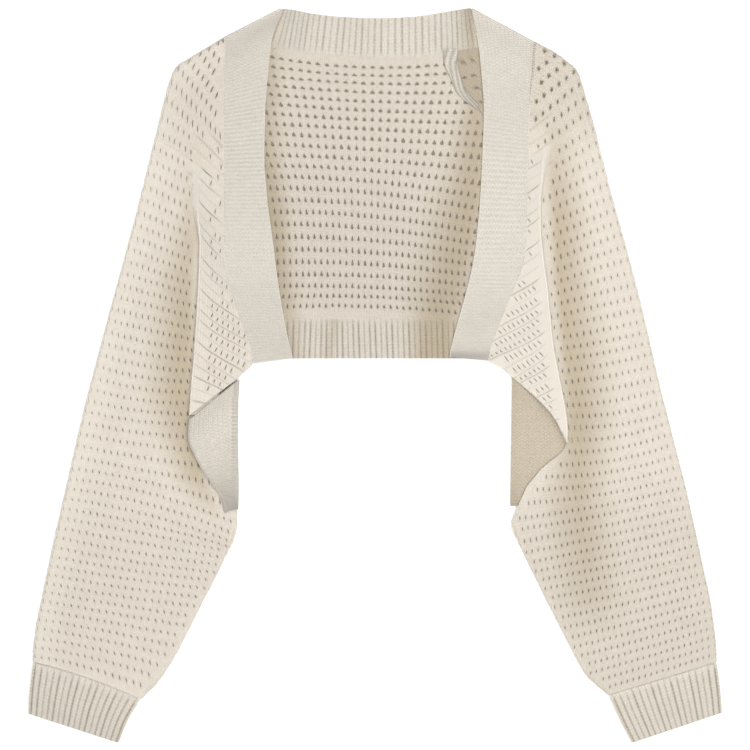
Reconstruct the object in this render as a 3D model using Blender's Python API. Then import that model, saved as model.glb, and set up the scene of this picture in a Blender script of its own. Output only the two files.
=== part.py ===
"""Cropped open-front cardigan in openwork knit, laid flat on its back with its arms down.

Metres, +Z up, the underside on z = 0. The tables give the laid-out garment in chart
units, counted right and down from the chart's corner, one row for each section.
Every piece is a thin closed wall: a grid of points on its middle surface, moved out
and in by half the wall.
"""
import math

import bmesh
import bpy
import numpy as np

for old in list(bpy.data.objects):
    bpy.data.objects.remove(old, do_unlink=True)

UNIT = 0.00095  # metres in one chart unit
CENTRE = 375.0  # chart units from the chart's corner to the garment's middle
WALL = 0.0022  # openwork and plain knit
RIB_WALL = 0.0016  # ribbed knit between its ribs
RIB_RISE = 0.0007  # height of a rib over that wall
LAYER_GAP = 0.0016  # space between the back layer and the front layer
PLEAT_GAP = 0.0004  # space between the layers of a pleat
SEAM = 0.0003  # space between two sewn pieces

BACK_MID = WALL / 2
FOLD_RISE = WALL + LAYER_GAP
FRONT_MID = BACK_MID + FOLD_RISE
SEAM_MID = BACK_MID + FOLD_RISE / 2
EDGE_REACH = FOLD_RISE / 2 + WALL / 2
PLEAT_RISE = WALL + PLEAT_GAP
PLEAT_REACH = PLEAT_RISE / 2 + WALL / 2
CURL_LENGTH = FOLD_RISE / 2 * math.pi / 2
BEND_LENGTH = PLEAT_RISE / 2 * math.pi
BAND_DROOP = 0.0011  # how far a free edge sinks towards the layer under it
DROOP_WIDTH = 0.014
LIFT_FADE = 0.023  # width over which the front comes down beside a pleat
PUFF = 0.0010  # how far the lower sleeve's front stands up
HEM_TOP, HEM_LOW = 320.0, 358.4  # chart heights of the back hem
HEM_TURN = 345.0  # chart height where the right sleeve's back edge leaves the hem
PANEL_LOW = 414.0  # chart height where the left front panel's pleat ends
NECK_FADE = 50.0, 1 / 3  # chart height and share of the back that bend to the neckband
SIDE_MARGIN = 0.9  # chart units between a piece and the sleeve's edge beside it
NECK_MARGIN = 0.8  # chart units between the neckband and the pieces below it
UP = np.array([0.0, 0.0, 1.0])

CURL_STEPS, BACK_STEPS, FOLD_STEPS, FRONT_STEPS = 3, 4, 6, 7
BEND_STEPS, TOP_STEPS = 5, 5
PANEL_ROWS, ARM_ROWS = 22, 11
CUFF_RIBS, HEM_RIBS, NECK_RIBS, RIB_STEPS = 34, 38, 36, 3

# Sleeve and front panel in one: the arm's outer edge, the pleat's edge, how far the
# sleeve runs on under it and where, the front panel's inner edge and how far the
# section to it bows upwards, the back's inner edge.
PANEL_COLUMNS = (
    "outer_x", "outer_y", "edge_x", "edge_y", "overlap", "tuck_y",
    "inner_x", "inner_y", "bow", "back_x", "back_y",
)
LEFT_PANEL = (
    (224.0, 38.0, 223.9, 56.5, 0, 56.5, 223.9, 66.0, 0, 265.6, 47.0),
    (211.0, 45.6, 217.0, 64.0, 0, 64.0, 223.8, 86.0, 0, 256.0, 76.0),
    (197.0, 54.5, 210.0, 80.0, 0, 80.0, 223.6, 110.0, 0, 248.0, 96.0),
    (183.0, 63.0, 204.5, 98.0, 0, 98.0, 223.6, 134.0, 0, 242.0, 116.0),
    (173.0, 75.0, 201.0, 117.0, 0, 117.0, 223.6, 158.0, 0, 238.0, 138.0),
    (166.5, 94.0, 199.8, 137.0, 0, 137.0, 223.6, 180.0, 0, 236.0, 160.0),
    (160.5, 117.0, 199.5, 158.0, 0, 158.0, 223.6, 200.0, 0, 235.0, 182.0),
    (154.0, 144.0, 199.5, 181.0, 0, 181.0, 223.6, 219.0, 0, 234.0, 206.0),
    (147.0, 172.0, 199.7, 206.0, 0.6, 206.0, 223.6, 240.0, 0, 233.5, 228.0),
    (140.0, 199.0, 199.7, 234.0, 3.4, 233.0, 223.6, 264.0, 0, 233.5, 250.0),
    (133.0, 226.0, 199.2, 262.0, 8.0, 259.0, 229.0, 288.0, 0, 233.5, 276.0),
    (126.0, 253.0, 198.0, 291.0, 13.0, 286.0, 234.5, 306.0, 0, 233.7, 300.0),
    (119.0, 279.0, 196.4, 320.0, 18.0, 312.0, 240.0, 321.0, 0, 234.0, 319.0),
    (112.0, 304.0, 194.6, 346.0, 22.0, 336.0, 245.5, 336.0, 0, 235.0, 334.0),
    (106.0, 328.0, 192.6, 371.0, 26.0, 358.0, 249.4, 349.0, 0, 236.0, 350.0),
    (99.5, 352.0, 190.6, 394.0, 30.0, 382.0, 250.0, 364.5, 0, 236.6, 365.0),
    (93.2, 375.0, 189.4, 416.0, 34.0, 405.0, 239.3, 377.5, 0, 237.0, 379.0),
)
RIGHT_PANEL = (
    (538.8, 44.8, 535.4, 63.0, 0, 63.0, 533.8, 71.5, 0, 447.6, 52.7),
    (553.0, 52.2, 543.0, 68.0, 0, 68.0, 532.6, 87.0, 0, 456.0, 76.0),
    (565.0, 60.5, 547.0, 82.0, 0, 82.0, 531.0, 102.0, 0, 464.0, 90.0),
    (574.0, 68.8, 548.5, 94.0, 0, 94.0, 529.8, 116.0, 0, 473.0, 102.0),
    (580.0, 80.0, 547.5, 108.0, 0, 108.0, 528.8, 130.0, 0, 482.0, 114.0),
    (585.0, 96.0, 545.5, 126.0, 0, 126.0, 528.3, 147.0, 0, 490.0, 130.0),
    (590.8, 115.5, 543.0, 147.0, 0.4, 147.0, 528.0, 165.0, 0, 496.0, 150.0),
    (597.2, 139.0, 541.4, 170.0, 1.6, 170.0, 527.8, 184.0, 0, 502.0, 172.0),
    (604.3, 166.0, 540.8, 198.0, 4.4, 197.0, 527.4, 208.0, 0, 506.0, 196.0),
    (611.2, 193.0, 541.0, 229.0, 8.0, 227.0, 526.6, 239.0, 0, 509.0, 222.0),
    (618.6, 221.0, 543.6, 258.0, 12.0, 255.0, 524.8, 263.0, 0, 511.0, 248.0),
    (626.0, 248.0, 547.6, 288.0, 16.0, 283.0, 518.0, 282.0, 0, 513.0, 274.0),
    (633.0, 274.0, 550.4, 316.0, 19.0, 308.0, 509.5, 302.0, 0, 515.0, 300.0),
    (639.6, 300.0, 553.0, 342.0, 21.0, 332.0, 502.0, 320.0, 0, 515.7, 322.0),
    (646.0, 327.0, 557.2, 366.0, 21.0, 357.0, 495.5, 338.0, 0, 516.0, 342.0),
    (652.0, 354.0, 561.6, 388.0, 19.0, 381.0, 491.8, 349.0, 1, 519.0, 362.0),
    (657.6, 378.0, 565.6, 410.0, 15.0, 402.0, 490.8, 354.0, 4, 551.0, 379.0),
    (663.6, 402.0, 567.6, 430.0, 10.0, 424.0, 490.3, 358.0, 7, 574.0, 406.0),
    (667.6, 418.0, 566.8, 442.5, 7.0, 438.0, 490.0, 361.6, 9, 585.0, 428.0),
)
# The arm below the front panel: closed is 1 where both layers meet in the underarm
# seam, and drop is 1 where the front layer's free edge sinks on to the back.
ARM_COLUMNS = (
    "outer_x", "outer_y", "inner_x", "inner_y", "back_x", "back_y", "closed", "drop",
)
LEFT_ARM = (
    (84.0, 411.0, 233.0, 440.0, 233.8, 440.0, 0.75, 0),
    (72.5, 461.0, 235.5, 485.0, 235.5, 485.0, 1, 0),
    (62.5, 505.0, 237.5, 525.0, 237.5, 525.0, 1, 0),
    (53.0, 547.0, 219.5, 569.5, 219.5, 569.5, 1, 0),
    (44.6, 587.0, 200.0, 607.5, 200.0, 607.5, 1, 0),
    (36.4, 627.0, 177.0, 653.0, 177.0, 653.0, 1, 0),
    (33.8, 648.0, 157.5, 683.0, 157.5, 683.0, 1, 0),
    (33.4, 661.3, 141.5, 698.3, 141.5, 698.3, 1, 0),
)
RIGHT_ARM = (
    (671.0, 431.0, 563.0, 450.5, 587.5, 448.0, 0, 1),
    (675.2, 448.0, 541.0, 468.5, 576.0, 470.0, 0, 1),
    (679.8, 465.0, 526.5, 486.0, 550.0, 495.0, 0, 1),
    (687.2, 496.0, 511.0, 521.0, 511.0, 524.0, 1, 0),
    (695.0, 530.0, 522.5, 551.5, 522.5, 551.5, 1, 0),
    (703.0, 569.0, 542.0, 591.5, 542.0, 591.5, 1, 0),
    (710.8, 607.0, 563.0, 633.0, 563.0, 633.0, 1, 0),
    (715.8, 637.0, 586.0, 675.5, 586.0, 675.5, 1, 0),
    (716.2, 661.3, 607.7, 694.3, 607.7, 694.3, 1, 0),
)
# Front bands: the seam with the front panel and the free edge, from the shoulder down.
BAND_COLUMNS = ("seam_x", "seam_y", "edge_x", "edge_y")
LEFT_BAND = (
    (227.0, 36.3, 280.0, 8.3),
    (225.2, 60.0, 272.6, 34.0),
    (224.4, 86.0, 268.3, 70.0),
    (224.2, 120.0, 265.2, 112.0),
    (224.2, 165.0, 264.0, 150.0),
    (224.2, 215.0, 266.5, 192.0),
    (224.4, 252.0, 271.0, 228.0),
    (228.4, 284.0, 275.0, 262.0),
    (236.6, 308.0, 279.5, 293.0),
    (246.0, 335.0, 286.0, 330.0),
    (254.4, 363.0, 292.6, 358.2),
)
RIGHT_BAND = (
    (536.0, 43.2, 473.0, 8.3),
    (533.4, 66.0, 477.8, 38.0),
    (530.4, 93.0, 481.4, 72.0),
    (528.4, 120.0, 484.0, 104.0),
    (527.5, 155.0, 482.6, 143.0),
    (526.8, 205.0, 480.4, 198.0),
    (524.2, 256.0, 474.3, 256.0),
    (510.8, 296.0, 466.3, 291.0),
    (499.0, 325.0, 457.4, 324.0),
    (490.0, 352.0, 450.3, 352.0),
    (487.6, 360.4, 449.6, 357.2),
)
# Back neckband: free edge and seam with the back, from the left shoulder to the right.
# The last column counts the ribs up to that section.
NECK_COLUMNS = ("top_x", "top_y", "low_x", "low_y", "rib")
NECKBAND = (
    (281.5, 11.1, 228.5, 39.1, 0),
    (285.0, 10.4, 250.0, 43.4, 1.5),
    (290.0, 10.6, 274.0, 47.7, 3),
    (311.0, 14.0, 305.0, 51.2, 7.6),
    (344.0, 17.5, 340.0, 53.9, 12.8),
    (375.0, 18.7, 374.0, 56.0, 18),
    (410.0, 17.5, 412.0, 55.6, 23.2),
    (443.0, 14.0, 448.0, 51.8, 28.4),
    (463.6, 10.4, 478.0, 47.4, 33),
    (468.2, 10.2, 504.0, 45.6, 34.5),
    (471.4, 11.1, 534.4, 46.0, 36),
)
# Left underarm band: it lies on the sleeve, its outer edge turned under by fold.
UNDERARM_COLUMNS = ("outer_x", "outer_y", "inner_x", "inner_y", "fold", "curl")
LEFT_UNDERARM = (
    (189.6, 417.6, 239.8, 379.2, 12, 1),
    (188.6, 437.0, 238.4, 410.0, 12, 1),
    (195.0, 455.0, 238.2, 440.0, 12, 1),
    (205.5, 474.0, 238.6, 464.0, 11, 1),
    (215.5, 488.0, 239.0, 483.0, 7, 0.9),
    (224.0, 500.0, 239.2, 498.0, 3, 0.6),
    (230.0, 510.0, 239.0, 509.0, 0, 0.3),
)
# Right underarm band: the free inner edge, its upper and lower end.
RIGHT_UNDERARM = ((512.3, 362.0), (510.2, 506.0))
UNDERARM_INSET = 0.0012  # metres between its outer edge and the sleeve's back edge
# Cuffs: outer and inner edge, from the sleeve to the hand.
CUFF_COLUMNS = ("outer_x", "outer_y", "inner_x", "inner_y")
LEFT_CUFF = (
    (33.4, 661.8, 141.2, 698.8),
    (30.2, 690.0, 127.5, 722.0),
    (28.6, 712.0, 119.6, 741.6),
)
RIGHT_CUFF = (
    (716.2, 661.8, 607.8, 694.8),
    (719.6, 688.0, 619.0, 719.0),
    (721.6, 711.0, 630.8, 741.6),
)
# Roll of the linked back seam: its middle and its width.
ROLL_COLUMNS = ("x", "y", "width")
BACK_ROLL = (
    (450.0, 50.5, 13.0),
    (446.5, 62.0, 11.0),
    (455.0, 76.0, 9.0),
    (460.5, 92.0, 7.5),
    (469.5, 101.0, 6.5),
    (477.5, 107.0, 5.5),
)


def resample(table, columns, stops):
    """Rows of a table at the given row numbers, whole or between, on a smooth curve."""
    rows = np.array(table, float)
    last = len(rows) - 1
    at = np.clip(np.asarray(stops, float), 0, last)
    k = np.minimum(at.astype(int), last - 1)
    t = (at - k)[:, None]
    step = np.diff(rows, axis=0)
    before, after = step[:-1], step[1:]
    level = np.where(before * after > 0, before + after, 1.0)
    inside = np.where(before * after > 0, 2 * before * after / level, 0.0)
    slope = np.vstack([step[:1], inside, step[-1:]])
    a, b, sa, sb = rows[k], rows[k + 1], slope[k], slope[k + 1]
    curve = (
        (2 * t**3 - 3 * t**2 + 1) * a
        + (t**3 - 2 * t**2 + t) * sa
        + (3 * t**2 - 2 * t**3) * b
        + (t**3 - t**2) * sb
    )
    return {name: curve[:, n] for n, name in enumerate(columns)}


def plan(x, y):
    """Chart units to metres on the plan."""
    return np.stack([(x - CENTRE) * UNIT, (CENTRE - y) * UNIT], axis=-1)


def ease(t):
    t = np.clip(t, 0.0, 1.0)
    return t * t * (3 - 2 * t)


def neck_low(x):
    """Chart height of the neckband's seam with the back, at chart x."""
    rows = resample(NECKBAND, NECK_COLUMNS, np.linspace(0, len(NECKBAND) - 1, 61))
    return np.interp(x, rows["low_x"], rows["low_y"])


def unit(v):
    return v / np.linalg.norm(v)


def side_way(points, towards):
    """At each point of a line, the plan direction square to it, on the side of towards."""
    along = np.gradient(points, axis=0)
    square = np.stack([-along[:, 1], along[:, 0]], axis=-1)
    square /= np.linalg.norm(square, axis=1)[:, None]
    turned = np.sum(square * (towards - points), axis=1) < 0
    square[turned] *= -1
    return square


def lean(way, angle):
    """Direction that leaves the plan direction way by angle, upwards."""
    return np.array([*(math.cos(angle) * way), math.sin(angle)])


def arc(start, way, heading, turn, length, count):
    """Middle line of a fold and its normals: count steps which turn by turn in all."""
    points, normals = [], []
    point = start
    chord = length / count * np.sinc(turn / count / 2 / math.pi)
    for k in range(count):
        point = point + chord * lean(way, heading + turn * (k + 0.5) / count)
        points.append(point)
        normals.append(lean(way, heading + turn * (k + 1) / count + math.pi / 2))
    return points, normals


def straight(a, b, count, bow=0.0):
    """Points after a on the way to b, b among them, bowed sideways by bow on the plan."""
    across = np.array([-(b - a)[1], (b - a)[0], 0.0])
    across *= bow / np.linalg.norm(across)
    steps = np.linspace(0, 1, count + 1)[1:]
    return [a + (b - a) * t + across * 4 * t * (1 - t) for t in steps]


def add_wall(name, middle, normal, outer_half, inner_half, keep, ring=False):
    """One closed body: the grid's points moved along their normals to both sides."""
    outside = middle + normal * outer_half[..., None]
    inside = middle - normal * inner_half[..., None]
    rows, cells = keep.shape
    columns = middle.shape[1]
    mesh = bmesh.new()
    made = {}

    def corner(side, i, j):
        key = (side, i, j % columns)
        if key not in made:
            made[key] = mesh.verts.new((outside, inside)[side][i, j % columns])
        return made[key]

    def kept(i, j):
        if ring:
            j = j % cells
        return 0 <= i < rows and 0 <= j < cells and keep[i, j]

    for i in range(rows):
        for j in range(cells):
            if not keep[i, j]:
                continue
            square = ((i, j), (i, j + 1), (i + 1, j + 1), (i + 1, j))
            mesh.faces.new([corner(0, *p) for p in square]).smooth = True
            mesh.faces.new([corner(1, *p) for p in reversed(square)]).smooth = True
            beside = ((i - 1, j), (i, j + 1), (i + 1, j), (i, j - 1))
            for k, place in enumerate(beside):
                if not kept(*place):
                    a, b = square[k], square[(k + 1) % 4]
                    mesh.faces.new([corner(0, *b), corner(0, *a), corner(1, *a), corner(1, *b)])
    bmesh.ops.recalc_face_normals(mesh, faces=mesh.faces)
    data = bpy.data.meshes.new(name)
    mesh.to_mesh(data)
    mesh.free()
    thing = bpy.data.objects.new(name, data)
    bpy.context.scene.collection.objects.link(thing)
    return thing


def finish_piece(thing, material):
    thing.data.materials.append(material)
    return thing


def fabric(name, colour, roughness):
    material = bpy.data.materials.new(name)
    material.use_nodes = True
    shader = material.node_tree.nodes["Principled BSDF"]
    shader.inputs["Base Color"].default_value = (*colour, 1.0)
    shader.inputs["Roughness"].default_value = roughness
    material.diffuse_color = (*colour, 1.0)
    return material


OPENWORK = fabric("openwork_knit", (0.76, 0.69, 0.57), 0.92)
RIBBED = fabric("rib_knit", (0.74, 0.66, 0.54), 0.92)
PLAIN = fabric("band_knit", (0.73, 0.65, 0.53), 0.92)


def pleat_turn(overlap):
    """Angle that the pleat's folds turn by, and the length of its middle layer."""
    room = overlap - 2 * PLEAT_REACH
    turn = math.pi * min(1.0, max(overlap, 0.0) / (2 * PLEAT_REACH)) ** 0.8
    return max(turn, 1e-4), max(room, 0.0) + 0.0004


def pleat_height(turn, middle):
    """How far the pleat lifts the front panel at its edge."""
    return 2 * BEND_LENGTH / turn * (1 - math.cos(turn)) + middle * math.sin(turn)


def curl(start, way, turn, radius, count, upper):
    """An edge that turns towards the seam between the layers, from start outwards."""
    length = radius * math.pi / 2
    points, normals = arc(start, way, 0.0, -turn if upper else turn, length, count)
    if not upper:
        normals = [-n for n in normals]
    low = length / max(turn, 1e-6) * (1 - math.cos(turn)) + WALL / 2 * math.cos(turn)
    spare = max(low - radius + SEAM / 2, 0.0)
    points[-1] = points[-1] + UP * (spare if upper else -spare)
    return points, normals


def curl_reach(turn, radius, half):
    """Plan distance that a curled edge takes up beyond its start."""
    if turn < 1e-3:
        return radius * math.pi / 2
    return radius * math.pi / 2 / turn * math.sin(turn) + half * math.sin(turn)


class Sleeve:
    """One sleeve with its front panel, as a grid of middle points and normals."""

    def __init__(self, panel, arm, sign):
        self.sign = sign
        upper = resample(panel, PANEL_COLUMNS, np.linspace(0, len(panel) - 1, PANEL_ROWS))
        lower = resample(arm, ARM_COLUMNS, np.linspace(0, len(arm) - 1, ARM_ROWS))
        self.upper = upper
        self.outer = np.vstack([
            plan(upper["outer_x"], upper["outer_y"]), plan(lower["outer_x"], lower["outer_y"]),
        ])
        self.back = np.vstack([
            plan(upper["back_x"], upper["back_y"]), plan(lower["back_x"], lower["back_y"]),
        ])
        self.edge = plan(upper["edge_x"], upper["edge_y"])
        self.inner = plan(upper["inner_x"], upper["inner_y"])
        self.arm_inner = plan(lower["inner_x"], lower["inner_y"])
        self.closed = np.concatenate([np.zeros(PANEL_ROWS), lower["closed"]])
        self.back_x = self.back[:, 0] / UNIT + CENTRE
        self.back_y = CENTRE - self.back[:, 1] / UNIT
        self.inner_y = CENTRE - self.inner[:, 1] / UNIT
        self.drop = np.concatenate([np.zeros(PANEL_ROWS), lower["drop"]])
        self.measure_pleat()
        self.middle, self.normal = self.grid()

    def measure_pleat(self):
        upper = self.upper
        overlap = upper["overlap"] * UNIT
        self.turns = [pleat_turn(w) for w in overlap]
        rise = np.array([pleat_height(*t) for t in self.turns])
        self.rise = np.where(overlap > 0.0002, rise, 0.0)
        share = np.clip(upper["overlap"] / 4, 0, 1)[:, None]
        row_way = self.inner - self.outer[:PANEL_ROWS]
        row_way /= np.linalg.norm(row_way, axis=1)[:, None]
        edge_way = side_way(self.edge, self.edge + np.array([self.sign, 0.0]))
        way = row_way * (1 - share) + edge_way * share
        self.pleat_way = way / np.linalg.norm(way, axis=1)[:, None]
        turn = np.array([t[0] for t in self.turns])
        self.top_start = self.edge + self.pleat_way * (PLEAT_REACH * np.sin(turn / 2) ** 2)[:, None]
        sway = 2 * BEND_LENGTH / turn * np.sin(turn)
        room = np.array([t[1] * math.cos(t[0]) for t in self.turns])
        self.tuck = self.top_start - self.pleat_way * (sway + room)[:, None]
        self.tuck[:, 1] -= (upper["tuck_y"] - upper["edge_y"]) * UNIT

    def lift(self, x, y):
        """Height of the front panel over the lowest front layer at a plan point."""
        chart_y = CENTRE - y / UNIT
        rise = np.interp(chart_y, self.upper["edge_y"], self.rise)
        tuck = np.interp(chart_y, self.upper["edge_y"], self.tuck[:, 0])
        past = (x - tuck) * self.sign - PLEAT_REACH
        return rise * (1 - ease(past / LIFT_FADE))

    def beside_back(self, y):
        """Chart x of a piece beside the sleeve's back edge, at chart y."""
        return np.interp(y, self.back_y, self.back_x) + self.sign * SIDE_MARGIN

    def beside_front(self, x, y):
        """Chart x, moved off the front panel's inner edge if it is nearer than a seam."""
        edge = np.interp(y, self.inner_y, self.inner[:, 0] / UNIT + CENTRE)
        edge = edge + self.sign * SIDE_MARGIN * 1.2
        past = (x - edge) * self.sign < 0
        return np.where(past & (y > self.inner_y[0] - 8), edge, x)

    def grid(self):
        rows = PANEL_ROWS + ARM_ROWS
        radius = FOLD_RISE / 2
        fold_way = side_way(self.outer, self.back)
        arm_way = -side_way(self.arm_inner, self.outer[PANEL_ROWS:])
        middle, normal = [], []
        for i in range(rows):
            in_panel = i < PANEL_ROWS
            turn = self.closed[i] * math.pi / 2
            back_way = unit(self.back[i] - self.outer[i])
            if not in_panel and self.closed[i] > 0.5:
                back_way = arm_way[i - PANEL_ROWS]
            reach = curl_reach(turn, radius, WALL / 2)
            back_flat = np.array([*(self.back[i] - back_way * reach), BACK_MID])
            points, normals = curl(back_flat, back_way, turn, radius, CURL_STEPS, False)
            points, normals = points[::-1] + [back_flat], normals[::-1] + [-UP]
            fold_start = np.array([*(self.outer[i] + fold_way[i] * EDGE_REACH), BACK_MID])
            back_run = straight(back_flat, fold_start, BACK_STEPS)
            if i == 0:
                for point in back_run[:-1]:
                    low = neck_low(point[0] / UNIT + CENTRE) + NECK_MARGIN
                    point[1] = (CENTRE - low) * UNIT
            points += back_run
            normals += [-UP] * BACK_STEPS
            length = radius * math.pi
            fold = arc(fold_start, fold_way[i], math.pi, -math.pi, length, FOLD_STEPS)
            points += fold[0]
            normals += fold[1]
            if in_panel:
                end, way, turn = self.tuck[i], self.pleat_way[i], 0.0
                reach = CURL_LENGTH
            else:
                end = self.arm_inner[i - PANEL_ROWS]
                way = arm_way[i - PANEL_ROWS] if turn > 0.7 else unit(end - self.outer[i])
                reach = curl_reach(turn, radius, WALL / 2)
            front_mid = FRONT_MID - BAND_DROOP * self.drop[i]
            front_end = np.array([*(end - way * reach), front_mid])
            run = straight(points[-1], front_end, FRONT_STEPS)
            puff = PUFF * ease((i - PANEL_ROWS) / 4)
            for k, point in enumerate(run):
                t = (k + 1) / FRONT_STEPS
                level = FRONT_MID + (front_mid - FRONT_MID) * t**4
                run[k] = np.array([point[0], point[1], level + puff * math.sin(math.pi * t) ** 2])
            points += run
            normals += [UP] * FRONT_STEPS
            bend = curl(front_end, way, turn, radius, CURL_STEPS, True)
            points += bend[0]
            normals += bend[1]
            if in_panel:
                more = self.pleat_row(i, points[-1])
                points += more[0]
                normals += more[1]
            else:
                spare = 2 * BEND_STEPS + 1 + TOP_STEPS
                points += [points[-1]] * spare
                normals += [UP] * spare
            middle.append(points)
            normal.append(normals)
        return np.array(middle), np.array(normal)

    def pleat_row(self, i, start):
        """From the tuck under the pleat, round its edge and across the front panel."""
        turn, room = self.turns[i]
        way = self.pleat_way[i]
        first = arc(start, way, 0.0, turn, BEND_LENGTH, BEND_STEPS)
        top = FRONT_MID + self.rise[i]
        top_start = np.array([*self.top_start[i], top])
        back = arc(np.zeros(3), way, turn, -turn, BEND_LENGTH, BEND_STEPS)
        shift = top_start - back[0][-1]
        second = [p + shift for p in back[0]]
        points = first[0] + [shift] + second
        normals = first[1] + [first[1][-1]] + back[1]
        end = np.array([*self.inner[i], top])
        run = straight(top_start, end, TOP_STEPS, self.upper["bow"][i] * UNIT * self.sign)
        for k, point in enumerate(run):
            level = FRONT_MID + self.lift(point[0], point[1])
            run[k] = np.array([point[0], point[1], level])
        return points + run, normals + [UP] * TOP_STEPS

    def build(self, name):
        rows, columns = self.middle.shape[:2]
        keep = np.ones((rows - 1, columns - 1), bool)
        keep[PANEL_ROWS - 1:, columns - 1 - (2 * BEND_STEPS + 1 + TOP_STEPS):] = False
        half = np.full((rows, columns), WALL / 2)
        return add_wall(name, self.middle, self.normal, half, half, keep)


def front_band(name, table, sleeve):
    """Plain band from its fold on the shoulder to the hem, over the back layer."""
    across, along = 5, 24
    rows = resample(table, BAND_COLUMNS, np.linspace(0, len(table) - 1, along + 1))
    rows["seam_x"] = sleeve.beside_front(rows["seam_x"], rows["seam_y"])
    seam, edge = plan(rows["seam_x"], rows["seam_y"]), plan(rows["edge_x"], rows["edge_y"])
    towards = np.array([sleeve.sign, 0.0])
    fold = edge[0] - seam[0]
    outward = unit(np.array([-fold[1], fold[0]]) * sleeve.sign)
    middle = np.zeros((along + 1 + CURL_STEPS, across + 1, 3))
    normal = np.zeros_like(middle)
    normal[..., 2] = 1
    for j in range(across + 1):
        t = j / across
        line = seam * (1 - t) + edge * t
        line[0] -= outward * curl_reach(math.pi / 2, FOLD_RISE / 2, WALL / 2)
        width = np.linalg.norm(edge - seam, axis=1)
        droop = BAND_DROOP * ease(1 - (1 - t) * width / DROOP_WIDTH)
        droop *= ease(np.arange(along + 1) / 3)
        height = FRONT_MID + sleeve.lift(line[:, 0], line[:, 1]) - droop
        middle[CURL_STEPS:, j, :2] = line
        middle[CURL_STEPS:, j, 2] = height
        start = np.array([*line[0], FRONT_MID])
        points, normals = curl(start, outward, math.pi / 2, FOLD_RISE / 2, CURL_STEPS, True)
        middle[:CURL_STEPS, j] = points[::-1]
        normal[:CURL_STEPS, j] = normals[::-1]
    half = np.full(middle.shape[:2], WALL / 2)
    keep = np.ones((middle.shape[0] - 1, across), bool)
    return add_wall(name, middle, normal, half, half, keep)


def rib_profile(count):
    """Share of a rib's height at each of its steps: a narrow valley and a broad rib."""
    return np.array([0.0 if k % RIB_STEPS == 0 else 1.0 for k in range(count)])


def neckband(name):
    """Ribbed band across the back neck, its ends turned up to the front bands."""
    deep = 2
    count = NECK_RIBS * RIB_STEPS
    table = np.array(NECKBAND)
    stops = np.interp(np.arange(count + 1) / RIB_STEPS, table[:, 4], np.arange(len(table)))
    rows = resample(NECKBAND, NECK_COLUMNS, stops)
    top, low = plan(rows["top_x"], rows["top_y"]), plan(rows["low_x"], rows["low_y"])
    radius = SEAM_MID - RIB_WALL / 2
    middle = np.zeros((deep + 1, count + 1 + 2 * CURL_STEPS, 3))
    normal = np.zeros_like(middle)
    normal[..., 2] = -1
    rise = np.zeros(middle.shape[:2])
    body = slice(CURL_STEPS, CURL_STEPS + count + 1)
    for i in range(deep + 1):
        t = i / deep
        line = top * (1 - t) + low * t
        for at, sign in ((0, 1), (-1, -1)):
            fold = top[at] - low[at]
            outward = unit(np.array([-fold[1], fold[0]]) * sign)
            start = np.array([*line[at], RIB_WALL / 2])
            bend = curl(start, outward, math.pi / 2, radius, CURL_STEPS, False)
            if at == 0:
                middle[i, :CURL_STEPS] = bend[0][::-1]
                normal[i, :CURL_STEPS] = bend[1][::-1]
            else:
                middle[i, -CURL_STEPS:] = bend[0]
                normal[i, -CURL_STEPS:] = bend[1]
        middle[i, body, :2] = line
        middle[i, body, 2] = RIB_WALL / 2
        rise[i, body] = rib_profile(count + 1) * RIB_RISE
    rise[:, :CURL_STEPS + 1] = 0
    rise[:, -CURL_STEPS - 1:] = 0
    half = np.full(middle.shape[:2], RIB_WALL / 2)
    keep = np.ones((deep, middle.shape[1] - 1), bool)
    return add_wall(name, middle, normal, half, half + rise, keep)


def back_hem(name, left, right):
    """Ribbed hem of the back, below the back panel and between the sleeves."""
    deep = 2
    count = HEM_RIBS * RIB_STEPS
    middle = np.zeros((deep + 1, count + 1, 3))
    for i in range(deep + 1):
        y = HEM_TOP + (HEM_LOW - HEM_TOP) * i / deep
        x = np.linspace(left.beside_back(y), right.beside_back(min(y, HEM_TURN)), count + 1)
        middle[i, :, :2] = plan(x, y + 0 * x)
    middle[..., 2] = RIB_WALL / 2
    normal = np.zeros_like(middle)
    normal[..., 2] = 1
    half = np.full(middle.shape[:2], RIB_WALL / 2)
    rise = np.tile(rib_profile(count + 1) * RIB_RISE, (deep + 1, 1))
    keep = np.ones((deep, count), bool)
    return add_wall(name, middle, normal, half + rise, half, keep)


def back_panel(name, left, right):
    """Openwork back between the sleeves' back edges, from the neckband to the hem."""
    across, along = 7, 24
    middle = np.zeros((along + 1, across + 1, 3))
    high_y, fade = NECK_FADE
    low_y = HEM_TOP - SEAM / UNIT
    for i in range(along + 1):
        down = i / along
        level = high_y + (low_y - high_y) * down
        y = np.full(across + 1, level)
        for _ in range(4):  # the row's ends and its bend towards the neck settle together
            x = np.linspace(left.beside_back(y[0]), right.beside_back(y[-1]), across + 1)
            y = level + (neck_low(x) + NECK_MARGIN - high_y) * (1 - ease(down / fade))
        middle[i, :, :2] = plan(x, y)
    middle[..., 2] = BACK_MID
    normal = np.zeros_like(middle)
    normal[..., 2] = 1
    half = np.full(middle.shape[:2], WALL / 2)
    return add_wall(name, middle, normal, half, half, np.ones((along, across), bool))


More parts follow.
